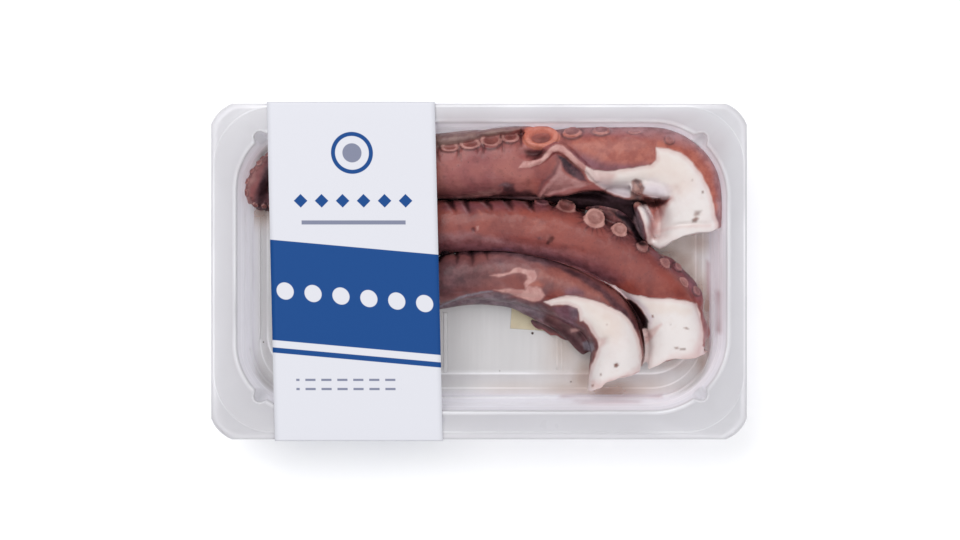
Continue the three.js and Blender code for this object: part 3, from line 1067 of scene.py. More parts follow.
    def _near_lug(self, points: Points) -> Points:
        """How much points belong to the four corner pockets, from 0 to 1.

        Args:
            points: the points, in millimetres.

        Returns:
            One number per point.
        """
        far = np.full(len(points), FAR)
        for corner_x, corner_y in self._plan(0.0):
            east, north = np.sign([corner_x - self.mouth_x, corner_y - self.mouth_y])
            mouth = self.mouth_radii[int(east > 0)]
            reach = mouth + self.lug_outside + 1.0
            middle = (
                corner_x - east * (mouth - reach * math.cos(self.lug_turn)),
                corner_y - north * (mouth - reach * math.sin(self.lug_turn)),
            )
            far = np.minimum(far, np.hypot(points[:, 0] - middle[0], points[:, 1] - middle[1]))
        return step(far, *self.pocket_reach)

    def _dropped(self, level: Level) -> Level:
        """The outer face's level under an inner one: lower where the wall is flat.

        Args:
            level: the inner face's level.

        Returns:
            The outer face's.
        """
        flat = level.z < 3.5 or level.z > self.top - 0.3
        drop = self.sheet if flat else self.sheet * 0.3
        return Level(level.inset, level.z - drop, level.lug, level.front)

    def _plan(self, inset: float) -> Outline:
        """A plain rectangle inside the mouth, as an outline.

        Args:
            inset: how far inside the mouth it lies.

        Returns:
            Its corners.
        """
        half_x, half_y = self.mouth_length / 2 - inset, self.mouth_width / 2 - inset
        return tuple(
            (self.mouth_x + sx * half_x, self.mouth_y + sy * half_y)
            for sx, sy in ((1, 1), (-1, 1), (-1, -1), (1, -1))
        )

    def _ribs(self) -> list[tuple[Points, list]]:
        """Low half-round ribs across the floor's raised panel.

        Returns:
            Each rib's points and faces.
        """
        made = []
        angles = around(8)
        for x, half_width, high, *ends in (
            (34.6, 0.5, 0.22, -43.5, 47.0),
            (36.6, 0.3, 0.14, -43.5, 47.0),
            (-97.2, 0.35, 0.16, -30.0, 34.0),
            (-14.9, 0.9, 0.08, -45.0, -18.0),
        ):
            loops = []
            for y in np.linspace(*ends, 30):
                fade = math.sin(math.pi * (0.04 + 0.92 * (y - ends[0]) / (ends[1] - ends[0]))) ** 0.3
                ring = [
                    (x + half_width * math.cos(a), y, self.floor_top + high * fade * math.sin(a))
                    for a in angles
                ]
                loops.append(np.array(ring)[::-1])
            made.append(loft(loops))
        return made


@dataclass
class LidFilm:
    """The film sealed on the flange, with a slight and uneven crown over the contents."""

    tray: Tray
    height: float = 30.06
    thick: float = 0.16
    crown: float = 0.12

    def build(self) -> bpy.types.Object:
        """Builds the film in place of its CAD node.

        Returns:
            The film.
        """
        shares = (1.0, 0.985, 0.96, 0.93, 0.88, 0.8, 0.7, 0.58, 0.44, 0.3, 0.16, 0.05, 0.002)
        edge = self.tray.outline(0.25, self.height)
        loops = [edge]
        for share in shares:
            loop = edge * (share, share, 1)
            slack = step(np.array([share]), 0.93, 0.75) * self.crown
            loop[:, 2] += self.thick + slack * (1 + NOISE.at(loop * (1, 1, 0), 21))
            loops.append(loop)
        points, faces = loft(loops, closed_ends=False)
        film = piece("Lid_Film", points, faces)
        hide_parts("film")
        place_on_pack(film, FilmFinish().build())
        return film


# ------------------------------------------------------------------------------- sleeve
@dataclass
class Sleeve:
    """The board band: top panel, upright edges, slanting sides and a lower panel."""

    width: float = 73.6
    middle: float = -54.4
    skew: float = -0.0237
    lean: float = -0.06
    top_half: float = 73.8
    foot_half: float = 61.0
    board: float = 0.45
    top: float = 30.8
    edge: float = 1.9
    rows: int = 31
    lean_from: float = 30.0
    span: float = 6.0

    @property
    def left(self) -> float:
        """Where the upper panel's left edge crosses the pack's middle."""
        return self.middle - self.width / 2 + self.lean * (self.top - self.lean_from)

    def section(self, out: float) -> Points:
        """The band's closed outline across the pack, with soft folds.

        Args:
            out: how far it lies outside the band's inner face.

        Returns:
            Points as (y, z), counter-clockwise.
        """
        low, high = self.board - out, self.top - self.board + out
        side = self.edge - 0.4
        corners = [
            (self.foot_half + out, low, 1.6),
            (self.top_half + out, high - side, 0.7),
            (self.top_half + out, high, 0.35),
        ]
        corners += [(-y, z, fold) for y, z, fold in reversed(corners)]
        path = []
        for i, (y, z, fold) in enumerate(corners):
            here = np.array([y, z])
            before = np.array(corners[i - 1][:2]) - here
            after = np.array(corners[(i + 1) % len(corners)][:2]) - here
            start = here + before / np.linalg.norm(before) * (fold + out)
            end = here + after / np.linalg.norm(after) * (fold + out)
            for t in np.linspace(0, 1, 6):
                path.append((1 - t) ** 2 * start + 2 * t * (1 - t) * here + t * t * end)
        return self._filled(np.array(path))

    def _filled(self, path: Points) -> Points:
        """Adds points along the long straight stretches, so that no face is long and thin.

        Args:
            path: the outline's points.

        Returns:
            The outline with points no more than a step apart.
        """
        filled = []
        for here, after in zip(path, np.roll(path, -1, 0)):
            pieces = max(1, round(float(np.linalg.norm(after - here)) / self.span))
            filled += [here + (after - here) * k / pieces for k in range(pieces)]
        return np.array(filled)

    def build(self) -> bpy.types.Object:
        """Builds the sleeve in place of its CAD node.

        Returns:
            The sleeve.
        """
        inner, outer = self.section(0.0), self.section(self.board)
        loops = []
        across = np.linspace(0, self.width, self.rows)
        for section in (outer, inner):
            rows = []
            for x in across:
                y, z = section[:, 0], section[:, 1]
                start = self.middle - self.width / 2 + x + self.lean * (z - self.lean_from) + self.skew * y
                rows.append(np.column_stack([start, y, z]))
            loops.append(rows)
        outside, inside = loops
        count = len(outside[0])
        points = np.vstack(outside + inside)
        faces = []
        total = self.rows * count
        for row in range(self.rows - 1):
            for i in range(count):
                j = (i + 1) % count
                a, b, c, d = row * count + i, row * count + j, (row + 1) * count + j, (row + 1) * count + i
                faces.append((a, b, c, d))
                faces.append((total + d, total + c, total + b, total + a))
        last = (self.rows - 1) * count
        for i in range(count):
            j = (i + 1) % count
            faces.append((i, total + i, total + j, j))
            faces.append((last + j, total + last + j, total + last + i, last + i))
        sleeve = piece("Sleeve_Board", points, faces)
        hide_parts("sleeve")
        board = BoardFinish("Printed_Board", self.skew, self.left, self.width)
        place_on_pack(sleeve, board.build())
        return sleeve


# ------------------------------------------------------------------------------- arms
class Limb:
    """A smooth centreline with a width and a height along it, in millimetres."""

    CHUNK = 4000

    def __init__(self, stations: Sequence[tuple[float, float, float, float]], bed: float) -> None:
        """Runs a centripetal spline through the stations.

        Args:
            stations: x, y, width and height of each, from the cut end to the tip.
            bed: the height of the arm's underside.
        """
        rows = np.array([(x, y, bed + high / 2, wide / 2, high / 2) for x, y, wide, high in stations])
        self.samples = self.spline(rows, 24)
        steps = np.linalg.norm(np.diff(self.samples[:, :3], axis=0), axis=1)
        self.along = np.concatenate([[0.0], np.cumsum(steps)])
        self.length = float(self.along[-1])
        tangent = np.gradient(self.samples[:, :2], axis=0)
        tangent /= np.linalg.norm(tangent, axis=1, keepdims=True)
        self.side = np.column_stack([tangent[:, 1], -tangent[:, 0]])

    @staticmethod
    def spline(rows: Points, pieces: int) -> Points:
        """A centripetal Catmull-Rom spline through rows of numbers.

        Args:
            rows: the rows that it passes through.
            pieces: how many steps it takes from one to the next.

        Returns:
            The rows along the spline.
        """
        ends = np.vstack([2 * rows[0] - rows[1], rows, 2 * rows[-1] - rows[-2]])
        out = []
        for a, b, c, d in zip(ends, ends[1:], ends[2:], ends[3:]):
            gaps = [math.sqrt(np.linalg.norm((q - p)[:2])) + TINY for p, q in ((a, b), (b, c), (c, d))]
            t1, t2 = gaps[0], gaps[0] + gaps[1]
            t3 = t2 + gaps[2]
            for t in np.linspace(t1, t2, pieces, endpoint=False):
                p = a + (b - a) * t / t1
                q = b + (c - b) * (t - t1) / (t2 - t1)
                r = c + (d - c) * (t - t2) / (t3 - t2)
                u = p + (q - p) * t / t2
                v = q + (r - q) * (t - t1) / (t3 - t1)
                out.append(u + (v - u) * (t - t1) / (t2 - t1))
        out.append(rows[-1])
        return np.array(out)

    def at(self, along: Points) -> tuple[Points, Points]:
        """The sample values and level side direction at lengths along the arm.

        Args:
            along: lengths along the arm.

        Returns:
            Rows of x, y, z, half width and half height, and the level sideways directions.
        """
        values = [np.interp(along, self.along, column) for column in self.samples.T]
        side = [np.interp(along, self.along, column) for column in self.side.T]
        return np.column_stack(values), np.column_stack(side)

    def nearest(self, points: Points) -> tuple[Points, Points, Points]:
        """Where points lie about the arm.

        Args:
            points: the points, in millimetres.

        Returns:
            The length along the arm, the offset to the sucker side and the offset upwards.
        """
        found = []
        for chunk in np.array_split(points, max(1, len(points) // self.CHUNK)):
            reach = np.linalg.norm(chunk[:, None, :3] - self.samples[None, :, :3], axis=2)
            found.append(reach.argmin(1))
        index = np.concatenate(found)
        away = points - self.samples[index, :3]
        aside = (away[:, :2] * self.side[index]).sum(1)
        return self.along[index], aside, away[:, 2]


class Face(Enum):
    """The shapes of a sucker: (radius, height) pairs, in shares of its radius and its rise."""

    DISHED = (
        (0.72, -1.2), (0.82, 0.1), (0.97, 0.55), (1.0, 0.82), (0.92, 1.0),
        (0.8, 0.98), (0.68, 0.72), (0.46, 0.5), (0.26, 0.3), (0.12, 0.0),
    )
    FLAT = (
        (0.74, -1.6), (0.84, 0.1), (0.98, 0.5), (1.0, 0.78), (0.94, 0.94),
        (0.84, 1.0), (0.7, 0.9), (0.5, 0.82), (0.24, 0.76), (0.1, 0.4),
    )
    GIANT = (
        (0.72, -1.4), (0.84, 0.0), (0.96, 0.35), (1.0, 0.6), (0.99, 0.82),
        (0.9, 1.0), (0.76, 1.02), (0.62, 0.8), (0.5, 0.2), (0.36, -0.3),
    )


@dataclass(frozen=True)
class Sucker:
    """One sucker: its place seen from above, its diameter, its tilt up from level and its shape.

    Its face is at height z, or sits on the skin where z is 0. Rise is its height and squash its
    other diameter, in shares of the diameter. Pale and orange are how strongly its rim is coloured.
    """

    x: float
    y: float
    wide: float
    tilt: float
    face: Face = Face.DISHED
    z: float = 0.0
    pale: float = 1.0
    rise: float = 0.24
    creased: bool = True
    squash: float = 1.0
    orange: float = 0.0


@dataclass(frozen=True)
class Cup:
    """One sucker set in its place: a point on the skin and the way it faces."""

    skin: Points
    out: Points
    sucker: Sucker


@dataclass(frozen=True)
class Patch:
    """A patch of one kind of surface on an arm, as an outline seen from above.

    The outline holds x and y in turn, in tenths of a millimetre. Its edge is this soft and wanders
    this much, in millimetres, and the patch lies between the heights of its floor and its roof.
    """

    tint: Tint
    outline: tuple[int, ...]
    soft: float = 1.2
    ragged: float = 0.8
    strength: float = 1.0
    floor: float = 0.0
    roof: float = FAR

    def corners(self) -> Outline:
        """The outline's corners, in millimetres."""
        return tuple((x / 10, y / 10) for x, y in zip(self.outline[::2], self.outline[1::2]))


@dataclass(frozen=True)
class Dent:
    """A soft oval hollow, or a swelling where its depth is negative, turned as seen from above."""

    x: float
    y: float
    wide: float
    tall: float
    turn: float
    depth: float


@dataclass(frozen=True)
class Fold:
    """A ridge or strip of web: its path, width and thickness.

    The path holds x, y and height in turn, in tenths of a millimetre.
    """

    path: tuple[int, ...]
    wide: float
    thick: float


@dataclass
class Arm:
    """One cooked arm: a tapering body with suckers, webs and a ragged cut end."""

    name: str
    node: str
    stations: tuple[tuple[float, float, float, float], ...]
    cut: tuple[float, float, float]
    finish: OctopusFinish
    suckers: tuple[Sucker, ...]
    patches: tuple[Patch, ...]
    folds: tuple[Fold, ...] = ()
    dents: tuple[Dent, ...] = ()
    cut_profile: tuple[tuple[float, float], ...] = ((-20.0, 0.0), (20.0, 0.0))
    row_angles: tuple[float, float] = (0.6, -0.62)
    rule_from: tuple[float, float] = (60.0, 12.0)
    widest_sucker: float = 7.4
    tip_turn: float = 0.45
    seed: int = 1
    bed: float = 2.55
    voxel: float = 0.5
    quick_voxel: float = 0.8
    body_step: float = 1.8
    least_sucker: float = 1.1
    edge_reach: float = 5.0
    thickest: float = 16.0
    arm_gap: float = 0.25
    film_gap: float = 0.35
    wall_gap: float = 0.15
    rag_sizes: tuple[float, float] = (4.5, 1.9)
    flesh_reach: float = 1.2
    cut_reach: tuple[float, float] = (-11.0, -1.0)
    limb: Limb = field(init=False)
    cups: list[Cup] = field(init=False)

    def __post_init__(self) -> None:
        """Makes the arm's centreline and sets its suckers on it."""
        self.limb = Limb(self.stations, self.bed)
        self.cups = [self._set(sucker) for sucker in self.suckers] + self._ruled()

    def ring(self, along: float, sides: int = 40) -> Points:
        """One ring of the body's skin.

        Args:
            along: the length along the arm.
            sides: how many points it has.

        Returns:
            The ring's points.
        """
        (row,), (side,) = self.limb.at(np.array([along]))
        angles = around(sides)
        flat = 1 - 0.05 * np.cos(2 * angles) ** 2
        out = row[3] * np.cos(angles) * flat
        up = row[4] * np.sin(angles) * flat
        up = np.where(up < 0, np.maximum(up, -row[4] * 0.985), up)
        return np.column_stack([row[0] + side[0] * out, row[1] + side[1] * out, row[2] + up])

    def body(self) -> tuple[Points, list]:
        """The tapering body, from past the cut end to the tip.

        Returns:
            The body's points and faces.
        """
        count = int(self.limb.length / self.body_step)
        lengths = np.linspace(0.0, self.limb.length, count)
        return loft([self.ring(along) for along in lengths][::-1])

    def _ruled(self) -> list[Cup]:
        """The suckers that follow the two rows out of sight or along the tip.

        Returns:
            Those suckers, set in place.
        """
        found = []
        peak = self.limb.samples[:, 3].max()
        for row, angle in enumerate(self.row_angles):
            along = self.rule_from[row]
            while along < self.limb.length - 4:
                (values,), (side,) = self.limb.at(np.array([along]))
                wide = self.widest_sucker * values[3] / peak
                if wide < self.least_sucker:
                    break
                shown = max(0.0, min(1.0, (6.0 - values[3]) / 2.0))
                bent = angle + 0.12 * math.sin(7.3 * along + row) + self.tip_turn * shown
                out = np.array([*(side * math.cos(bent)), math.sin(bent)])
                level = side * values[3] * math.cos(bent)
                skin = values[:3] + np.array([*level, values[4] * math.sin(bent)])
                sucker = Sucker(*skin[:2], wide, math.degrees(bent), pale=0.6 + 0.4 * shown)
                found.append(Cup(skin, out, sucker))
                along += wide * (1.14 + 0.05 * math.sin(3.1 * along))
        return found

    def _set(self, sucker: Sucker) -> Cup:
        """Sets one shown sucker on the skin below its place.

        Args:
            sucker: the sucker.

        Returns:
            The sucker, set in place.
        """
        place = np.array([sucker.x, sucker.y])
        reach = np.linalg.norm(self.limb.samples[:, :2] - place, axis=1)
        index = int(reach.argmin())
        row, side = self.limb.samples[index], self.limb.side[index]
        tilt = math.radians(sucker.tilt)
        rise = sucker.rise * sucker.wide
        aside = float((place - row[:2]) @ side) - rise * math.cos(tilt)
        angle = math.acos(max(-1.0, min(1.0, aside / row[3])))
        out = np.array([*(side * math.cos(tilt)), math.sin(tilt)])
        z = sucker.z - rise * math.sin(tilt) if sucker.z else row[2] + row[4] * math.sin(angle)
        skin = np.array([*(row[:2] + side * aside), z])
        return Cup(skin, out, sucker)

    @staticmethod
    def _frame(out: Points) -> tuple[Points, Points]:
        """Two directions square to one.

        Args:
            out: the direction.

        Returns:
            The two.
        """
        helper = np.array([0.0, 0.0, 1.0]) if abs(out[2]) < 0.9 else np.array([1.0, 0.0, 0.0])
        first = np.cross(helper, out)
        first /= np.linalg.norm(first)
        return first, np.cross(out, first)

    def cup_skin(self, cup: Cup) -> tuple[Points, list]:
        """One sucker's skin: a neck, a rolled rim and a dished face with a hole.

        Args:
            cup: the sucker.

        Returns:
            Its points and faces.
        """
        look = cup.sucker
        first, second = self._frame(cup.out)
        angles = around(36)
        wave = 0.96 + 0.03 * np.sin(2 * angles + look.wide) + 0.01 * np.sin(5 * angles + 2 * look.wide)
        loops = []
        for radius, high in look.face.value:
            reach = radius * look.wide / 2 * wave
            ring = cup.skin + cup.out * high * look.rise * look.wide
            ring = ring + (reach * np.cos(angles))[:, None] * first
            loops.append(ring + (reach * look.squash * np.sin(angles))[:, None] * second)
        return loft(loops)

    def strip(self, fold: Fold) -> tuple[Points, list]:
        """One fold of web, swept along its path and thinned at its ends.

        Args:
            fold: the fold.

        Returns:
            Its points and faces.
        """
        rows = Limb.spline(np.reshape(fold.path, (-1, 3)) / 10, 10)
        angles = around(14)
        loops = []
        for i, here in enumerate(rows):
            ahead = rows[min(i + 1, len(rows) - 1)] - rows[max(i - 1, 0)]
            ahead /= np.linalg.norm(ahead)
            level = np.cross([0.0, 0.0, 1.0], ahead)
            level /= np.linalg.norm(level)
            up = np.cross(ahead, level)
            taper = 0.35 + 0.65 * math.sin(math.pi * i / (len(rows) - 1)) ** 0.5
            across = (fold.wide / 2 * taper * np.cos(angles))[:, None] * level
            loops.append(here + across + (fold.thick / 2 * taper * np.sin(angles))[:, None] * up)
        return loft(loops)

    def beyond_cut(self, points: Points) -> tuple[Points, Points]:
        """How far points lie beyond the cut's plane, and how far along its line.

        Args:
            points: the points, in millimetres.

        Returns:
            The two lengths, one of each per point.
        """
        x, y, turn = self.cut
        east, north = points[:, 0] - x, points[:, 1] - y
        ahead = east * math.cos(turn) + north * math.sin(turn)
        return east * math.sin(turn) - north * math.cos(turn), ahead

    def fused(self) -> bpy.types.Object:
        """Fuses body, suckers and webs into one skin, cut at the thick end.

        Returns:
            The arm, without its relief.
        """
        parts = [self.body()]
        parts += [self.cup_skin(cup) for cup in self.cups]
        parts += [self.strip(fold) for fold in self.folds]
        arm = piece(self.name, *joined(parts))
        self._remesh(arm)
        x, y, turn = self.cut
        outward = Vector((math.sin(turn), -math.cos(turn), 0))
        sheet = bmesh.new()
        sheet.from_mesh(arm.data)
        everything = sheet.verts[:] + sheet.edges[:] + sheet.faces[:]
        place = (x * MM, y * MM, 0)
        bmesh.ops.bisect_plane(sheet, geom=everything, plane_co=place, plane_no=outward, clear_outer=True)
        open_edges = [edge for edge in sheet.edges if edge.is_boundary]
        bmesh.ops.edgenet_fill(sheet, edges=open_edges)
        bmesh.ops.triangulate(sheet, faces=[f for f in sheet.faces if len(f.verts) > 4])
        sheet.to_mesh(arm.data)
        sheet.free()
        self._remesh(arm)
        self._rounded(arm)
        return arm

    def _remesh(self, arm: bpy.types.Object) -> None:
        """Fuses everything that overlaps in a mesh into one even skin.

        Args:
            arm: the arm, changed in place.
        """
        remesh = arm.modifiers.new("Fuse", "REMESH")
        remesh.mode = "VOXEL"
        remesh.voxel_size = MM * self.voxel
        self._apply(arm)

    def _rounded(self, arm: bpy.types.Object) -> None:
        """Evens the whole skin a little and rounds the edge of the cut face.

        Args:
            arm: the arm, changed in place.
        """
        beyond, _ = self.beyond_cut(coordinates(arm))
        near = arm.vertex_groups.new(name="cut_edge")
        for index in np.flatnonzero(beyond > -self.edge_reach):
            near.add([int(index)], 1.0, "REPLACE")
        for group, rounds in (("", 2), ("cut_edge", 18)):
            smooth = arm.modifiers.new("Smooth", "SMOOTH")
            smooth.factor = 0.5
            smooth.iterations = rounds
            smooth.vertex_group = group
        self._apply(arm)
        arm.vertex_groups.clear()

    @staticmethod
    def _apply(arm: bpy.types.Object) -> None:
        """Puts an object's modifiers into its mesh.

        Args:
            arm: the arm, changed in place.
        """
        bpy.context.view_layer.update()
        evaluated = arm.evaluated_get(bpy.context.evaluated_depsgraph_get())
        mesh = bpy.data.meshes.new_from_object(evaluated)
        arm.modifiers.clear()
        old, arm.data = arm.data, mesh
        bpy.data.meshes.remove(old)
        mesh.shade_smooth()

    def masks(self, points: Points) -> dict[Tint, Points]:
        """The strength of each kind of surface at each point.

        Args:
            points: the arm's points.

        Returns:
            One mask for each tint.
        """
        found = {tint: np.zeros(len(points)) for tint in Tint}
        coarse, fine = self.rag_sizes
        ragged = np.column_stack([NOISE.at(points + shift, coarse) for shift in (0, 50)])
        ragged += 0.6 * np.column_stack([NOISE.at(points + shift, fine) for shift in (9, 77)])
        beyond, _ = self.beyond_cut(points)
        depth = beyond + self.flesh_reach + 0.6 * ragged[:, 0]
        for patch in self.patches:
            moved = points.copy()
            moved[:, :2] += ragged * patch.ragged
            inside = depth_inside(moved, patch.corners())
            mask = step(inside, -patch.soft / 2, patch.soft / 2) * patch.strength
            low, high = patch.floor, patch.roof
            mask *= step(points[:, 2], low - 2, low + 1) * step(points[:, 2], high + 1, high - 1)
            found[patch.tint] = np.maximum(found[patch.tint], mask)
            if patch.tint is Tint.FLESH:
                depth = np.maximum(depth, np.where(points[:, 2] > low, inside, -9.0))
        found[Tint.FLESH] = np.maximum(found[Tint.FLESH], step(depth, -0.4, 0.4))
        found[Tint.ROSE] = np.maximum(found[Tint.ROSE], 0.7 * step(depth, 2.4, 0.2))
        self._sucker_masks(points, found)
        return found

    def _sucker_masks(self, points: Points, found: dict[Tint, Points]) -> None:
        """Adds the suckers' rims and faces, and painted shade in the creases round them, in their holes and
        in their fine wrinkles.

        Args:
            points: the points, in millimetres.
            found: the masks, which are raised in place.
        """
        for cup in self.cups:
            look = cup.sucker
            r = look.wide / 2
            away = points - cup.skin
            near = np.flatnonzero((away**2).sum(1) < (2.6 * r) ** 2)
            high = away[near] @ cup.out
            first, second = self._frame(cup.out)
            level = np.column_stack([away[near] @ first, away[near] @ second / look.squash])
            far = np.linalg.norm(level, axis=1) / r
            rise = look.rise * look.wide
            giant = look.face is Face.GIANT
            low = 0.1 * rise if giant else 0.0
            edge = 1.02 if giant else 1.12
            on_face = step(far, edge, edge - 0.06) * step(high, low, low + 0.3 * rise)
            on_face = on_face * step(high, 2.6 * rise, 1.7 * rise)
            inner = 0.54 if giant else 0.74
            rim = on_face * step(far, inner - 0.1, inner + 0.06)
            face = on_face * step(far, inner + 0.06, inner - 0.1)
            if look.face is Face.FLAT:
                ring = step(far, 0.34, 0.5) * step(far, 0.74, 0.6)
                rim, face = on_face * (0.7 + 0.3 * rim), on_face * 0.4 * ring
            base = step(far, 0.9, 1.04) * step(far, 1.5, 1.12) * step(high, 0.45 * rise, 0.0)
            self._raise(found[Tint.RIM], near, 0 * rim if giant else rim * look.pale)
            self._raise(found[Tint.CUP], near, 0.75 * face if giant else face * look.pale)
            self._raise(found[Tint.GIANT], near, rim * (1.0 if giant else look.orange))
            # Painted shade round the sucker's base and in its hole.
            self._raise(found[Tint.CREASE], near, base * 0.75)
            hole = step(far, 0.36, 0.12) * on_face
            self._raise(found[Tint.CREASE], near, hole * (0.85 if giant else 0.5))
            # Painted shade in the fine wrinkles that spread round the sucker, stronger round the big flat
            # ones.
            turn = np.arctan2(level[:, 1], level[:, 0])
            spoke = step(np.sin(turn * 17 + 2 * np.sin(3 * turn)), 0.35, 0.9)
            band = step(far, 1.05, 1.2) * step(far, 2.1, 1.3)
            strong = look.face is Face.FLAT and r > 2.5
            self._raise(found[Tint.CREASE], near, spoke * band * (0.55 if strong else 0.15))

    @staticmethod
    def _raise(mask: Points, near: Points, values: Points) -> None:
        """Raises some of a mask's values to at least these."""
        mask[near] = np.maximum(mask[near], values)

    def relief(self, points: Points, found: dict[Tint, Points]) -> Points:
        """How far each point moves along its normal.

        Args:
            points: the points, in millimetres.
            found: the masks; the painted crease shade is raised in place.

        Returns:
            One distance per point.
        """
        along, aside, up = self.limb.nearest(points)
        lump = 0.42 * NOISE.at(points + self.seed * 31, 11) + 0.2 * NOISE.at(points + self.seed, 4.4)
        fine = 0.07 * NOISE.at(points + 5, 1.5)
        grooves = self._grooves(along, aside, up, found)
        flesh = found[Tint.FLESH]
        faces = np.maximum(np.maximum(found[Tint.RIM], found[Tint.CUP]), found[Tint.GIANT])
        soft = (1 - 0.8 * faces) * (1 - 0.3 * flesh)
        return (lump + fine - grooves) * soft - 0.35 * flesh

    def _grooves(self, along: Points, aside: Points, up: Points, found: dict[Tint, Points]) -> Points:
        """Short creases that run down from between the suckers, deeper close to their row.

        Args:
            along: each point's length along the arm.
            aside: its offset to the sucker side.
            up: its offset upwards.
            found: the masks; the painted crease shade is raised in place.

        Returns:
            How deep the creases are at each point.
        """
        depth = np.zeros(len(along))
        angle = np.arctan2(up, aside)
        for cup in self.cups:
            look = cup.sucker
            if look.wide < 2.0 or not look.creased:
                continue
            at, seat_aside, seat_up = self.limb.nearest(cup.skin[None])
            seat = float(np.arctan2(abs(seat_up[0]), seat_aside[0])) - 0.3
            turn = angle if seat_up[0] > -1 else -angle
            for shift in (-0.62, 0.62):
                line = at[0] + shift * look.wide + 0.5 * np.sin(5 * angle + at[0])
                groove = step(np.abs(along - line), 0.13 * look.wide, 0.02 * look.wide)
                band = step(turn - seat, -0.5, 0.1) * step(turn - seat, 0.95, 0.4)
                depth = np.maximum(depth, groove * band * (0.5 if look.face is Face.GIANT else 1.0))
        depth *= 1 - found[Tint.OLIVE]
        # The grooves are painted with crease shade as well.
        found[Tint.CREASE] = np.maximum(found[Tint.CREASE], depth * 0.8)
        return depth * 0.55

    def _sculpted(self, points: Points, facing: Points) -> Points:
        """Presses the dents in from above and makes the cut end uneven.

        Args:
            points: the points, in millimetres.
            facing: their normals.

        Returns:
            The points, moved.
        """
        points = points.copy()
        upward = step(facing[:, 2], -0.2, 0.4)
        for dent in self.dents:
            east, north = points[:, 0] - dent.x, points[:, 1] - dent.y
            c, s = math.cos(dent.turn), math.sin(dent.turn)
            u, v = (east * c + north * s) / dent.wide, (north * c - east * s) / dent.tall
            points[:, 2] -= dent.depth * np.exp(-(u * u + v * v)) * upward
        beyond, ahead = self.beyond_cut(points)
        places, pushes = zip(*self.cut_profile)
        push = np.interp(ahead, places, pushes) + 0.5 * NOISE.at(points + 11, 5)
        push = push * step(beyond, *self.cut_reach)
        turn = self.cut[2]
        points[:, 0] += push * math.sin(turn)
        points[:, 1] -= push * math.cos(turn)
        return points

    def build(self, tray: Tray, earlier: Sequence["Arm"]) -> bpy.types.Object:
        """Builds the arm in place of its CAD node.

        Args:
            tray: the tray that it is pressed into.
            earlier: the arms that it lies against.

        Returns:
            The arm.
        """
        arm = self.fused()
        points, facing = coordinates(arm), normals(arm)
        points = self._sculpted(points, facing)
        found = self.masks(points)
        points += facing * self.relief(points, found)[:, None]
        for other in earlier:
            points = other.pushed_out(points, self.arm_gap)
        points = self._kept_in(points, tray)
        move_points(arm, points)
        for tint, mask in found.items():
            store(arm, tint.value, mask)
        place_on_pack(arm, self.finish.build())
        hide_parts(self.node)
        return arm

    def pushed_out(self, points: Points, gap: float) -> Points:
        """Moves points that lie in this arm's body out to its skin.

        Args:
            points: another arm's points.
            gap: the distance that is kept.

        Returns:
            The points, moved.
        """
        middle = self.limb.samples[:, :3]
        low, high = middle.min(0) - self.thickest, middle.max(0) + self.thickest
        near = np.flatnonzero(((points > low) & (points < high)).all(1))
        along, aside, up = self.limb.nearest(points[near])
        rows, sides = self.limb.at(along)
        wide, tall = rows[:, 3] + gap, rows[:, 4] + gap
        share = np.sqrt((aside / wide) ** 2 + (up / tall) ** 2)
        beyond, _ = self.beyond_cut(points[near])
        moves = (share < 1) & (beyond < 0) & (along > 0.5) & (along < self.limb.length - 0.5)
        grow = np.where(moves, 1 / np.maximum(share, 0.2) - 1, 0)
        points = points.copy()
        points[near, :2] += sides * (aside * grow)[:, None]
        points[near, 2] += up * grow
        return points

    def _kept_in(self, points: Points, tray: Tray) -> Points:
        """Keeps points clear of the tray's wall and floor and of the film.

        Args:
            points: the points, in millimetres.
            tray: the tray.

        Returns:
            The points, moved.
        """
        points = points.copy()
        points[:, 2] = np.clip(points[:, 2], self.bed, tray.top - self.film_gap)
        levels = tray.levels()
        heights = [level.z for level in reversed(levels)]
        insets = np.interp(points[:, 2], heights, [level.inset for level in reversed(levels)]) + self.wall_gap
        mouth = np.where(points[:, 0] > 0, tray.mouth_radii[1], tray.mouth_radii[0])
        radius = np.maximum(tray.least_radius, mouth - insets)
        half_x = tray.mouth_length / 2 - insets - radius
        half_y = tray.mouth_width / 2 - insets - radius
        x, y = points[:, 0] - tray.mouth_x, points[:, 1] - tray.mouth_y
        core_x, core_y = np.clip(x, -half_x, half_x), np.clip(y, -half_y, half_y)
        away = np.hypot(x - core_x, y - core_y)
        pull = np.where(away > radius, radius / np.maximum(away, TINY), 1.0)
        points[:, 0] = core_x + (x - core_x) * pull + tray.mouth_x
        points[:, 1] = core_y + (y - core_y) * pull + tray.mouth_y
        return points


UPPER_SUCKERS = (
    Sucker(-12.9, 54.7, 7.6, 58, pale=0.7, rise=0.07, squash=0.52),
    Sucker(-4.3, 56.2, 8.6, 54, pale=0.7, rise=0.07, squash=0.58),
    Sucker(5.3, 57.8, 8.8, 48, pale=0.7, rise=0.09, squash=0.8),
    Sucker(13.9, 59.4, 7.2, 46, pale=0.7, rise=0.09, squash=0.88),
    Sucker(27.0, 59.8, 17, 56, Face.GIANT, 25.4, rise=0.24, squash=0.68),
    Sucker(41.1, 61.8, 8.4, 46, pale=0.9, rise=0.15, creased=False, squash=0.72, orange=0.6),
    Sucker(53.9, 62.6, 7.6, 44, pale=0.8, rise=0.15, creased=False, squash=0.66, orange=0.5),
    Sucker(68.4, 61.6, 5.4, 40, pale=0.5, rise=0.12, creased=False, squash=0.4, orange=0.4),
    Sucker(84.3, 58.2, 3.9, 46, Face.FLAT, pale=0.3, creased=False),
)
TORN_WEB = (359, 476, 368, 445, 399, 410, 443, 397, 495, 384, 421, 366, 333, 346, 263, 327, 281, 362, 311,
    401, 338, 432)
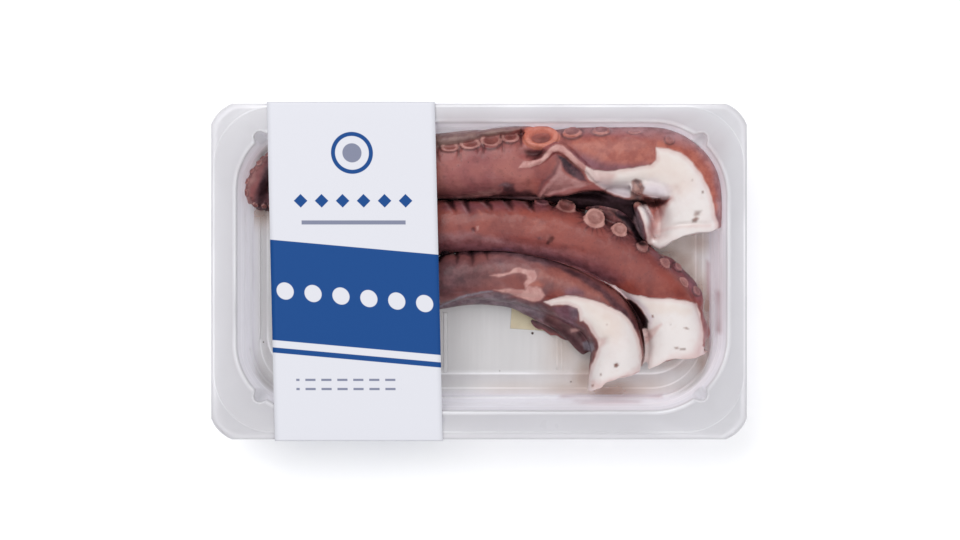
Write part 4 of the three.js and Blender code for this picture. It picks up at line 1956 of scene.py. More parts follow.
UPPER_PATCHES = (
    Patch(Tint.FLESH, (469, 463, 504, 447, 552, 443, 618, 445, 684, 456, 728, 465, 758, 471, 776, 489, 778,
        546, 837, 539, 887, 520, 938, 480, 982, 423, 1013, 362, 1028, 298, 1035, 248, 1052, 213, 1065, 42,
        706, 42, 706, 107, 754, 112, 741, 142, 750, 178, 767, 221, 776, 261, 802, 287, 846, 318, 815, 316,
        772, 322, 732, 335, 706, 349, 671, 327, 640, 324, 596, 342, 552, 359, 513, 381, 487, 401, 465, 432),
        0.8, 0.3, floor=8.0),
    Patch(Tint.SPECK, (932, 403, 938, 406, 939, 397, 933, 395), 0.9, 0.1, 0.4),
    Patch(Tint.SPECK, (978, 355, 988, 355, 989, 344, 979, 343), 0.8, 0.1, 0.8),
    Patch(Tint.SPECK, (943, 243, 951, 259, 973, 261, 969, 243, 951, 235), 1.8, 0.5, 0.7),
    Patch(Tint.SPECK, (934, 226, 951, 236, 967, 230, 956, 214, 938, 214), 1.4, 0.4, 0.9),
    Patch(Tint.SPECK, (745, 473, 753, 476, 754, 467, 746, 465), 0.8, 0.1, 0.6),
    Patch(Tint.ROSE, (772, 175, 837, 197, 925, 203, 1021, 206, 1021, 195, 925, 192, 837, 185, 780, 164), 2.0,
        0.2, 0.5),
    Patch(Tint.ROSE, (443, 471, 548, 454, 601, 436, 583, 357, 522, 375, 460, 419), 5.0, 0.8, 0.95),
    Patch(Tint.BLUSH, (465, 410, 517, 384, 557, 357, 530, 353, 478, 384), 2.6, 0.8, 0.6),
    Patch(Tint.BLUSH, (750, 138, 741, 182, 758, 243, 772, 287, 811, 318, 837, 318, 824, 278, 798, 217, 772,
        147), 3.4, 0.4, 0.95),
    Patch(Tint.HAZE_AND_SHEEN, (1039, 322, 1065, 305, 1065, 182, 1039, 199), 2.6, 0.8, 0.9),
    Patch(Tint.CREAM, (487, 441, 706, 454, 776, 533, 837, 533, 907, 489, 943, 436, 925, 357, 864, 331, 811,
        375, 728, 406, 574, 401), 8.0, 1.0, 0.5),
    Patch(Tint.BLUSH, (829, 384, 864, 388, 890, 366, 881, 335, 846, 331, 829, 357), 3.4, 0.8, 0.2),
    Patch(Tint.AMBER, (381, 572, 443, 581, 530, 590, 662, 585, 772, 572, 780, 546, 780, 489, 750, 471, 688,
        467, 609, 467, 548, 476, 495, 502, 443, 524, 399, 541), 5.0, 0.6, 0.9),
    Patch(Tint.AMBER, (780, 576, 890, 550, 934, 533, 978, 524, 1017, 489, 1030, 436, 1043, 366, 1052, 296,
        1043, 256, 1021, 287, 1008, 357, 978, 419, 934, 480, 881, 520, 811, 537, 780, 537), 2.0, 0.6, 1.0),
    Patch(Tint.PURPLE_AND_SHADE, (1039, 489, 1074, 445, 1083, 287, 1061, 296, 1052, 375), 3.0, 0.6, 0.6),
    Patch(Tint.PURPLE_AND_SHADE, (364, 541, 421, 533, 487, 502, 548, 476, 618, 467, 706, 469, 750, 471, 706, 454, 618,
        441, 548, 438, 495, 447, 443, 480), 4.0, 0.5, 0.7),
    Patch(Tint.PALE, (171, 454, 191, 482, 237, 489, 272, 498, 289, 520, 311, 541, 339, 556, 368, 550, 395,
        528, 425, 500, 465, 467, 495, 445, 522, 423, 530, 375, 495, 395, 460, 436, 416, 476, 377, 515, 351,
        530, 324, 526, 302, 498, 267, 467, 224, 454), 0.7, 0.25),
    Patch(Tint.DARK_SKIN_AND_SHADE, (342, 515, 377, 502, 412, 476, 447, 443, 478, 395, 443, 399, 412, 414, 386, 436, 364,
        476), 1.4, 0.4, 1.0),
    Patch(Tint.BLACK, (197, 533, 228, 526, 267, 526, 298, 530, 281, 506, 237, 498, 206, 502), 2.4, 1.2, 0.6),
    Patch(Tint.PALE, TORN_WEB, 1.2, 0.3, 0.42),
    Patch(Tint.PURPLE_AND_SHADE, TORN_WEB, 1.2, 0.3, 0.45),
    Patch(Tint.DARK_SKIN_AND_SHADE, (342, 506, 357, 476, 338, 427, 294, 395, 267, 340, 254, 335, 272, 397, 316, 432, 342,
        471), 2.2, 0.3, 0.6),
    Patch(Tint.RED, (250, 454, 320, 511, 346, 489, 338, 432, 294, 401, 259, 357, 189, 384), 4.0, 0.8, 0.6),
    Patch(Tint.LILAC_SHADE, (522, 397, 583, 388, 671, 379, 671, 322, 636, 322, 583, 340, 530, 362), 5.0, 0.9,
        0.85),
    Patch(Tint.LILAC_SHADE, (723, 384, 772, 397, 829, 379, 842, 344, 829, 313, 776, 313, 728, 335), 5.0, 0.9,
        0.85),
    Patch(Tint.HOLLOW_SHADE, (671, 397, 688, 408, 712, 397, 728, 370, 719, 331, 719, 292, 662, 292, 669, 366), 1.2,
        0.3, 0.95),
    Patch(Tint.BLACK, (723, 331, 772, 318, 833, 322, 815, 292, 772, 278, 710, 300), 2.4, 0.4, 0.75),
    Patch(Tint.BLACK, (259, 322, 355, 346, 465, 362, 552, 353, 640, 322, 728, 318, 750, 296, 688, 287, 680,
        217, 723, 125, 680, 125, 530, 243, 355, 287), 1.6, 0.4, roof=21.0),
    Patch(Tint.DARK_SKIN_AND_SHADE, (83, 379, 118, 390, 153, 384, 171, 362, 206, 355, 250, 349, 285, 322, 180, 300, 118, 327,
        105, 353), 3.0, 1.1, 0.75),
    Patch(Tint.BLACK, (118, 362, 153, 370, 180, 353, 241, 344, 272, 322, 180, 313, 127, 335), 2.8, 1.2, 0.4),
    # Painted grey-blue highlight streaks in the dark crevice.
    Patch(Tint.GREY, (88, 379, 118, 385, 145, 377, 127, 366, 96, 369), 2.0, 0.8, 0.25),
    Patch(Tint.DARK_SKIN_AND_SHADE, (-215, 384, -39, 388, 92, 397, 224, 357, 289, 322, 180, 287, -215, 287), 10.0, 0.8, 0.5),
    Patch(Tint.BLACK, (-215, 331, -101, 327, 4, 333, 114, 340, 180, 335, 267, 322, 267, 287, -215, 287), 2.4,
        0.8, 0.85),
    Patch(Tint.PALE, (-39, 337, 4, 351, 57, 357, 105, 353, 92, 342, 22, 338), 1.8, 0.6, 0.3),
    Patch(Tint.PALE, (-118, 322, -75, 331, -13, 333, -31, 324, -75, 318), 1.4, 0.5, 0.3),
    Patch(Tint.OLIVE, (-215, 673, 241, 682, 193, 629, 136, 612, 96, 603, 53, 594, 9, 585, -39, 574, -88, 562,
        -136, 551, -215, 537), 2.0, 0.5, 0.9),
    Patch(Tint.HAZE_AND_SHEEN, (-215, 673, 241, 682, 206, 633, 92, 625, -39, 620, -127, 620, -215, 612), 3.0, 0.8,
        0.6),
    Patch(Tint.HAZE_AND_SHEEN, (355, 682, 881, 682, 1021, 603, 1100, 489, 1100, 261, 1061, 261, 1052, 375, 1030, 445,
        986, 506, 925, 555, 846, 585, 706, 603, 465, 612, 355, 616), 6.0, 0.8, 0.9),
    Patch(Tint.DARK_SKIN_AND_SHADE, (658, 283, 693, 292, 706, 256, 723, 208, 738, 151, 745, 99, 719, 94, 693, 156, 671, 226),
        1.4, 0.5, 0.8, floor=9.0),
    Patch(Tint.GREY, (671, 270, 693, 270, 710, 217, 728, 147, 715, 147, 688, 208), 2.4, 0.6, 0.6, floor=9.0),
    Patch(Tint.FLESH, (694, 283, 715, 300, 741, 292, 767, 248, 776, 182, 767, 129, 745, 112, 738, 156, 723,
        208, 706, 256), 0.8, 0.3, 1.0, floor=9.0),
    Patch(Tint.LILAC_SHADE, (728, 283, 754, 261, 772, 199, 763, 151, 750, 178, 741, 235), 3.0, 0.5, 0.9,
        floor=9.0),
    Patch(Tint.DARK_SKIN_AND_SHADE, (-934, 506, -890, 533, -890, 261, -986, 256, -1017, 287, -986, 331, -973, 401, -951,
        454), 4.0, 0.8, 0.9),
    Patch(Tint.BLACK, (-899, 471, -934, 445, -960, 401, -978, 349, -973, 305, -947, 327, -929, 375, -899,
        410), 3.0, 0.7, 0.6),
    Patch(Tint.PALE, (-951, 533, -1004, 471, -1035, 401, -1035, 313, -1004, 270, -995, 287, -1013, 331,
        -1008, 392, -982, 454, -934, 506), 3.0, 1.4, 0.3),
    Patch(Tint.OLIVE, (-934, 533, -986, 480, -1021, 410, -1043, 331, -1021, 287, -1004, 331, -991, 397, -951,
        463, -916, 498), 3.0, 1.2, 0.4),
)
UPPER_FOLDS = (
    Fold((171, 458, 252, 228, 473, 268, 281, 502, 274, 311, 535, 276, 342, 546, 278, 381, 528, 280, 434, 484,
        278, 487, 436, 264, 522, 392, 240), 4.4, 3.4),
    Fold((261, 331, 185, 298, 370, 215, 338, 410, 236, 359, 463, 258), 3.0, 5.0),
    Fold((289, 340, 186, 377, 362, 204, 465, 377, 214, 557, 366, 200), 6.5, 4.0),
    Fold((693, 300, 185, 715, 256, 202, 734, 199, 194, 747, 121, 155), 6.6, 12.0),
    Fold((-259, 575, 174, -149, 579, 174, -61, 590, 176, 31, 605, 176), 6.8, 19.0),
    Fold((-61, 596, 176, 53, 612, 178, 153, 623, 178, 241, 633, 170), 3.8, 18.0),
    Fold((-237, 327, 110, 4, 331, 110, 302, 318, 120), 9.0, 9.0),
    Fold((-136, 328, 148, -48, 337, 162, 48, 349, 174, 153, 347, 168), 3.6, 3.0),
    Fold((289, 322, 125, 421, 331, 140, 552, 313, 140, 653, 278, 130, 706, 217, 120, 723, 138, 100), 13.0,
        9.0),
    Fold((530, 357, 160, 640, 335, 150, 728, 309, 130, 772, 252, 110), 12.0, 9.0),
    Fold((758, 331, 135, 780, 261, 110, 798, 199, 110, 811, 129, 100), 11.0, 16.0),
    Fold((662, 366, 230, 741, 362, 244, 811, 353, 238, 881, 331, 225), 7.0, 5.0),
    Fold((758, 125, 150, 829, 147, 185, 925, 182, 210, 1021, 191, 205), 7.0, 12.0),
)
UPPER_DENTS = (
    Dent(79.4, 25.2, 3.0, 5.6, 0.3, 3.6),
    Dent(77.2, 30.9, 5.4, 1.8, 0.0, 4.0),
    Dent(69.7, 36.2, 2.2, 4.0, 0.0, 1.4),
    Dent(41.2, 44.5, 6.0, 4.0, -0.8, 2.4),
    Dent(53.0, 34.0, 16.0, 2.2, -0.1, 2.0),
    Dent(24.1, 51.5, 5.5, 1.8, 0.0, 2.0),
    Dent(95.6, 23.9, 2.6, 2.2, 0.0, 0.5),
    Dent(90.7, 19.9, 14.0, 1.2, 0.06, 1.1),
    Dent(64.4, 41.0, 12.0, 3.0, 0.1, -0.8),
    Dent(85.5, 35.7, 1.0, 3.4, -0.7, 0.5),
    Dent(87.7, 36.6, 0.8, 3.0, -0.7, 0.4),
)


def upper_arm() -> Arm:
    """The long arm along the back, with the giant sucker, the torn web and the curled tip.

    Returns:
        The arm.
    """
    return Arm(
        name="Arm_Long",
        node="arm_long",
        stations=(
            (91.4, 6, 29, 24), (93.3, 18, 29.8, 25), (93.1, 30.5, 30.5, 26), (89.8, 41.3, 31.8, 26),
            (78.2, 48.9, 31.5, 26), (62, 50.1, 30, 25.5), (45, 49.5, 30.5, 25), (28, 47.7, 29.5, 25),
            (9, 47.4, 29, 24.5), (-11, 46.5, 27.5, 24), (-31, 45.9, 25, 22.5), (-48, 45.6, 21, 20.5),
            (-65, 46.8, 16.4, 17), (-81, 48.9, 14, 14.5), (-91.6, 46, 13, 14), (-97.6, 39.4, 11.4, 12.5),
            (-98.3, 33.6, 10.4, 10.5), (-93, 31.2, 8.8, 8.8), (-85, 31.4, 6.8, 7), (-78, 32.6, 5, 5.5),
            (-72.8, 35.4, 3.4, 3.6), (-71, 38.4, 1.8, 2),
        ),
        cut=(92.6, 14.4, 0.22),
        cut_profile=((-17, 0.4), (-14, 1.8), (-11, 1.4), (-8, 0.0), (-3.5, -1.4), (4, -1.4), (9, -0.4),
                     (12, -0.8), (15, -1.4)),
        finish=OctopusFinish("Octopus_Skin_Upper", tone(182, 110, 102), tone(160, 90, 90)),
        suckers=UPPER_SUCKERS,
        patches=UPPER_PATCHES,
        folds=UPPER_FOLDS,
        dents=UPPER_DENTS,
        row_angles=(0.56, -0.62),
        rule_from=(162.0, 16.0),
        widest_sucker=8.4,
        seed=1,
    )


def spikes(tops: Outline, leans: Sequence[float]) -> tuple[Patch, ...]:
    """Wedges of painted shade that run down from between two suckers, each with a painted highlight streak at
    its left.

    Args:
        tops: where each wedge starts, seen from above.
        leans: how far each wedge's point lies to the right.

    Returns:
        Two patches for each wedge.
    """
    wedge = ((-1.3, 0.9), (1.8, 0.9), (2.0, -2.2), (2.2, -4.6), (0.0, -2.6))
    streak = ((-2.4, 0.0), (-1.5, 0.0), (-0.2, -2.6), (1.1, -5.3), (-0.9, -3.5))
    found = []
    for (x, y), lean in zip(tops, leans):
        for tint, shape, soft, ragged, share in (
            (Tint.BLACK, wedge, 2.4, 0.5, 0.75),
            (Tint.HAZE_AND_SHEEN, streak, 1.4, 0.3, 0.6),
        ):
            corners = [(x + dx + lean * (dy < -1), y + dy) for dx, dy in shape]
            outline = tuple(round(10 * value) for corner in corners for value in corner)
            found.append(Patch(tint, outline, soft, ragged, share))
    return tuple(found)


MIDDLE_SUCKERS = (
    Sucker(-15.8, 31.8, 7.0, 0, Face.DISHED, 12.0, 0.2),
    Sucker(-8.8, 31.8, 7.2, 0, Face.DISHED, 12.0, 0.2),
    Sucker(-0.9, 31.3, 7.4, 0, Face.DISHED, 12.0, 0.2),
    Sucker(7.9, 31.3, 7.8, 0, Face.DISHED, 12.0, 0.2),
    Sucker(17.5, 31.3, 8.2, 0, Face.DISHED, 12.0, 0.2),
    Sucker(28.1, 31.3, 7.4, 30, Face.DISHED, pale=0.1, rise=0.14, squash=0.7),
    Sucker(38.4, 29.2, 9.4, 56, Face.DISHED, 18.7, pale=0.5, rise=0.1, creased=False, squash=0.8),
    Sucker(50.9, 24.1, 9.8, 62, Face.FLAT, pale=1.0, rise=0.16, creased=False),
    Sucker(62.4, 18.7, 7.2, 62, Face.FLAT, pale=1.0, rise=0.16, creased=False),
    Sucker(72.6, 11.6, 5.6, 52, Face.FLAT, pale=0.4, creased=False),
    Sucker(82.2, 4.1, 5.2, 50, Face.FLAT, pale=0.6, rise=0.15, creased=False, squash=0.95),
    Sucker(90.2, -4.8, 4.9, 46, Face.FLAT, 20.3, pale=0.6, rise=0.15, creased=False, squash=0.95),
    Sucker(88.4, 2.4, 4.6, 36, Face.FLAT, 17.6, 0.4, rise=0.16, creased=False, squash=0.9),
    Sucker(96.2, -8.3, 4.2, 36, Face.FLAT, 17.6, 0.4, rise=0.16, creased=False, squash=0.9),
    Sucker(58.7, 28.3, 6.0, 30, Face.FLAT, 16.0, 0.2, creased=False),
)
MIDDLE_PATCHES = (
    Patch(Tint.FLESH, (513, -50, 557, -55, 599, -62, 636, -84, 680, -103, 750, -116, 837, -119, 919, -131,
        960, -141, 975, -178, 985, -228, 991, -278, 988, -327, 1017, -344, 1026, -375, 995, -520, 671, -520,
        680, -441, 697, -344, 710, -274, 741, -226, 728, -186, 688, -142, 618, -103, 557, -72), 0.6, 0.4,
        floor=7.0),
    Patch(Tint.BLACK, (-215, 327, 92, 331, 355, 318, 530, 292, 662, 235, 706, 173, 750, 112, 706, 121, 644,
        217, 548, 278, 465, 287, 355, 318, 92, 313, -215, 309), 1.6, 0.6, 0.9),
    Patch(Tint.DARK_SKIN_AND_SHADE, (469, 313, 618, 313, 706, 248, 732, 138, 688, 138, 627, 226, 557, 287), 1.6, 0.8, 0.95,
        0.0, 22.0),
    Patch(Tint.DARK_SKIN_AND_SHADE, (522, 327, 609, 305, 680, 252, 710, 156, 680, 147, 644, 208, 566, 278), 2.0, 0.8, 0.8),
    *spikes(((-12.7, 30.9), (-5.9, 31.1), (2.6, 31.3), (11.8, 31.6), (21.0, 31.3)), (0.0, 0.0, 0.9, 0.9,
        1.3)),
    Patch(Tint.PURPLE_AND_SHADE, (-171, 305, 289, 305, 302, 274, 92, 265, -171, 270), 4.0, 1.2, 0.5),
    Patch(Tint.DARK_SKIN_AND_SHADE, (250, 331, 320, 327, 324, 296, 289, 287, 250, 300), 2.4, 0.5, 0.8),
    Patch(Tint.AMBER, (-149, 252, 92, 261, 289, 252, 399, 199, 320, 173, 92, 182, -149, 191), 9.0, 1.5,
        0.15),
    Patch(Tint.AMBER, (232, 226, 259, 230, 294, 199, 298, 173, 267, 182, 237, 204), 2.4, 0.8, 0.4),
    Patch(Tint.PALE, (-13, 197, -2, 199, -2, 182, -11, 178), 1.0, 0.2, 0.6),
    Patch(Tint.DARK_SKIN_AND_SHADE, (-37, 186, -22, 191, -15, 178, -28, 169), 1.2, 0.3, 0.7),
    Patch(Tint.AMBER, (-9, 274, 4, 270, 18, 243, 4, 243), 1.2, 0.3, 0.7),
    Patch(Tint.BLACK, (309, 153, 324, 158, 335, 147, 324, 134, 307, 123, 294, 125), 1.2, 0.5, 0.6),
    Patch(Tint.DARK_SKIN_AND_SHADE, (250, 151, 272, 151, 281, 138, 263, 140), 1.4, 0.4, 0.6),
    Patch(Tint.GREY, (-180, 164, -39, 164, 114, 151, 114, 134, -39, 138, -180, 129), 4.0, 1.0, 0.25),
    Patch(Tint.PURPLE_AND_SHADE, (-189, 147, 4, 156, 136, 147, 267, 134, 399, 103, 530, 50, 644, -20, 557, -64, 443,
        -11, 355, 24, 224, 59, 92, 77, -189, 77), 9.0, 0.4, 0.3),
    Patch(Tint.DARK_SKIN_AND_SHADE, (-189, 125, 4, 129, 136, 121, 267, 103, 399, 68, 530, 11, 627, -42, 557, -72, 443, -15,
        355, 20, 224, 55, 92, 72, -189, 72), 8.0, 0.4, 0.8),
    Patch(Tint.DARK_SKIN_AND_SHADE, (294, 287, 338, 261, 443, 243, 478, 191, 557, 178, 601, 138, 671, 112, 723, 77, 750, 103,
        706, 156, 618, 243, 487, 313, 355, 322), 5.0, 0.8, 0.55),
    Patch(Tint.PURPLE_AND_SHADE, (281, 53, 355, 33, 443, -7, 530, -50, 557, -72, 513, -68, 434, -28, 355, 11, 289, 33),
        1.4, 0.4, 1.0),
    # A painted highlight, a thin wet rim light along this edge.
    Patch(Tint.PALE, (320, 37, 381, 15, 460, -22, 522, -53, 522, -59, 452, -28, 373, 7), 1.0, 0.4, 0.4),
    Patch(Tint.PURPLE_AND_SHADE, (197, 72, 259, 64, 267, 50, 206, 57), 1.4, 0.6, 0.9),
    Patch(Tint.PURPLE_AND_SHADE, (57, 105, 118, 103, 162, 85, 127, 81, 66, 94), 1.4, 0.6, 0.9),
    Patch(Tint.RED, (495, -2, 618, -24, 706, -46, 794, -59, 881, -77, 964, -103, 964, -142, 916, -132, 837,
        -118, 750, -116, 680, -103, 618, -72, 557, -55), 5.0, 0.8, 0.95),
    Patch(Tint.BLACK, (522, -61, 557, -72, 592, -94, 631, -118, 666, -127, 693, -147, 706, -164, 732, -195,
        745, -221, 737, -256, 710, -256, 662, -204, 601, -151, 548, -107), 0.9, 0.4, 0.95),
    Patch(Tint.LILAC_SHADE, (526, -55, 596, -68, 671, -107, 728, -151, 763, -204, 750, -243, 728, -186, 680, -138,
        609, -94, 548, -68), 3.0, 0.5, 0.85),
    Patch(Tint.SPECK, (757, -193, 765, -192, 766, -203, 758, -203), 0.7, 0.1, 0.95),
    Patch(Tint.SPECK, (899, -248, 912, -244, 925, -255, 910, -253), 0.8, 0.2, 0.85),
    Patch(Tint.SPECK, (859, -335, 875, -333, 877, -343, 864, -344), 0.9, 0.3, 0.7),
    Patch(Tint.SPECK, (881, -340, 907, -338, 907, -345, 884, -347), 0.9, 0.3, 0.75),
    Patch(Tint.SPECK, (837, -230, 844, -230, 844, -237, 838, -237), 0.8, 0.1, 0.3),
    Patch(Tint.ROSE, (732, -265, 767, -248, 798, -230, 780, -265, 758, -292, 741, -318, 728, -318), 1.6, 0.5,
        1.0),
    Patch(Tint.ROSE, (772, -423, 837, -379, 951, -353, 969, -300, 986, -204, 1026, -213, 1026, -353, 1013,
        -441, 794, -467), 5.0, 0.8, 0.7),
    Patch(Tint.BLUSH, (706, -239, 732, -239, 741, -300, 732, -388, 710, -449, 693, -441), 3.0, 0.3, 0.4),
    Patch(Tint.HAZE_AND_SHEEN, (982, -125, 1008, -151, 1021, -213, 1021, -309, 995, -318, 991, -221), 2.0, 0.9, 0.6),
    Patch(Tint.CREAM, (662, -125, 969, -160, 925, -195, 750, -178), 4.0, 1.0, 0.5),
    Patch(Tint.PURPLE_AND_SHADE, (750, 103, 811, 85, 925, -2, 1004, -125, 969, -134, 925, -81, 864, -11, 794, 42), 4.0,
        1.0, 0.6),
    Patch(Tint.DARK_SKIN_AND_SHADE, (829, 77, 925, 7, 995, -107, 969, -107, 907, -20, 846, 42), 2.4, 0.8, 0.6),
)
MIDDLE_FOLDS = (
    Fold((-237, 94, 110, 4, 99, 130, 224, 72, 145, 399, 11, 150, 530, -68, 150, 627, -138, 145, 706, -230,
        130, 732, -322, 110, 710, -441, 90), 9.5, 9.0),
    Fold((465, 300, 150, 557, 274, 150, 636, 217, 145, 697, 125, 130), 9.0, 7.0),
    Fold((925, -125, 140, 969, -182, 140, 986, -256, 130, 991, -327, 120), 5.0, 12.0),
    Fold((802, 55, 115, 842, 15, 125, 894, -42, 130, 943, -99, 130, 973, -160, 120), 9.0, 12.0),
)
MIDDLE_DENTS = (
    Dent(-11.8, 29.6, 1.2, 3.0, 0.5, 1.1),
    Dent(-5.0, 29.6, 1.2, 3.0, 0.5, 1.1),
    Dent(3.5, 30.0, 1.3, 3.2, 0.5, 1.3),
    Dent(12.3, 30.0, 1.3, 3.2, 0.5, 1.3),
    Dent(21.9, 30.0, 1.3, 3.2, 0.7, 1.3),
    Dent(75.4, -25.6, 3.6, 0.9, 0.7, 0.9),
    Dent(75.8, -28.7, 3.4, 0.8, 0.5, 0.8),
    Dent(92.5, -16.9, 9.0, 4.0, 0.0, -0.8),
    Dent(31.6, 14.2, 1.0, 1.6, 0.3, 0.4),
    Dent(-2.6, 18.2, 1.0, 1.0, 0.3, 0.8),
    Dent(26.7, 11.2, 22.0, 2.2, -0.16, 0.8),
)


def middle_arm() -> Arm:
    """The middle arm, with its upper row of suckers turned up near the cut end.

    Returns:
        The arm.
    """
    return Arm(
        name="Arm_Middle",
        node="arm_middle",
        stations=(
            (86, -50, 25.5, 22), (87.4, -38, 26.5, 23.5), (87.2, -28, 26.5, 25), (83, -16, 26.5, 25.5),
            (75.8, -6, 26, 25), (65, 4, 25.5, 24.5), (51, 11.3, 25.5, 24), (35.5, 16.2, 26, 23.5),
            (20, 18.8, 25.4, 23), (5, 20, 24.6, 22.5), (-12.5, 20.2, 23.6, 21.5), (-30, 20.6, 21, 19.5),
            (-47, 22, 16, 16.5), (-61, 22.6, 12.5, 13), (-72, 20.6, 9, 9.5), (-78.5, 15.5, 6.5, 7),
            (-79.5, 9.5, 4.2, 4.5), (-76, 6, 1.8, 2),
        ),
        cut=(88, -41, 0.27),
        cut_profile=((-18, -2.2), (-13, -1.2), (-9, -1.8), (-5, -3.2), (-1, -2.8), (4, -1.0), (8, -0.4),
                     (12, -1.0), (15, -2.0)),
        finish=OctopusFinish("Octopus_Skin_Middle", tone(164, 84, 74), tone(142, 72, 68)),
        suckers=MIDDLE_SUCKERS,
        patches=MIDDLE_PATCHES,
        folds=MIDDLE_FOLDS,
        dents=MIDDLE_DENTS,
        row_angles=(0.3, -0.6),
        rule_from=(168.0, 12.0),
        widest_sucker=8.6,
        seed=2,
    )


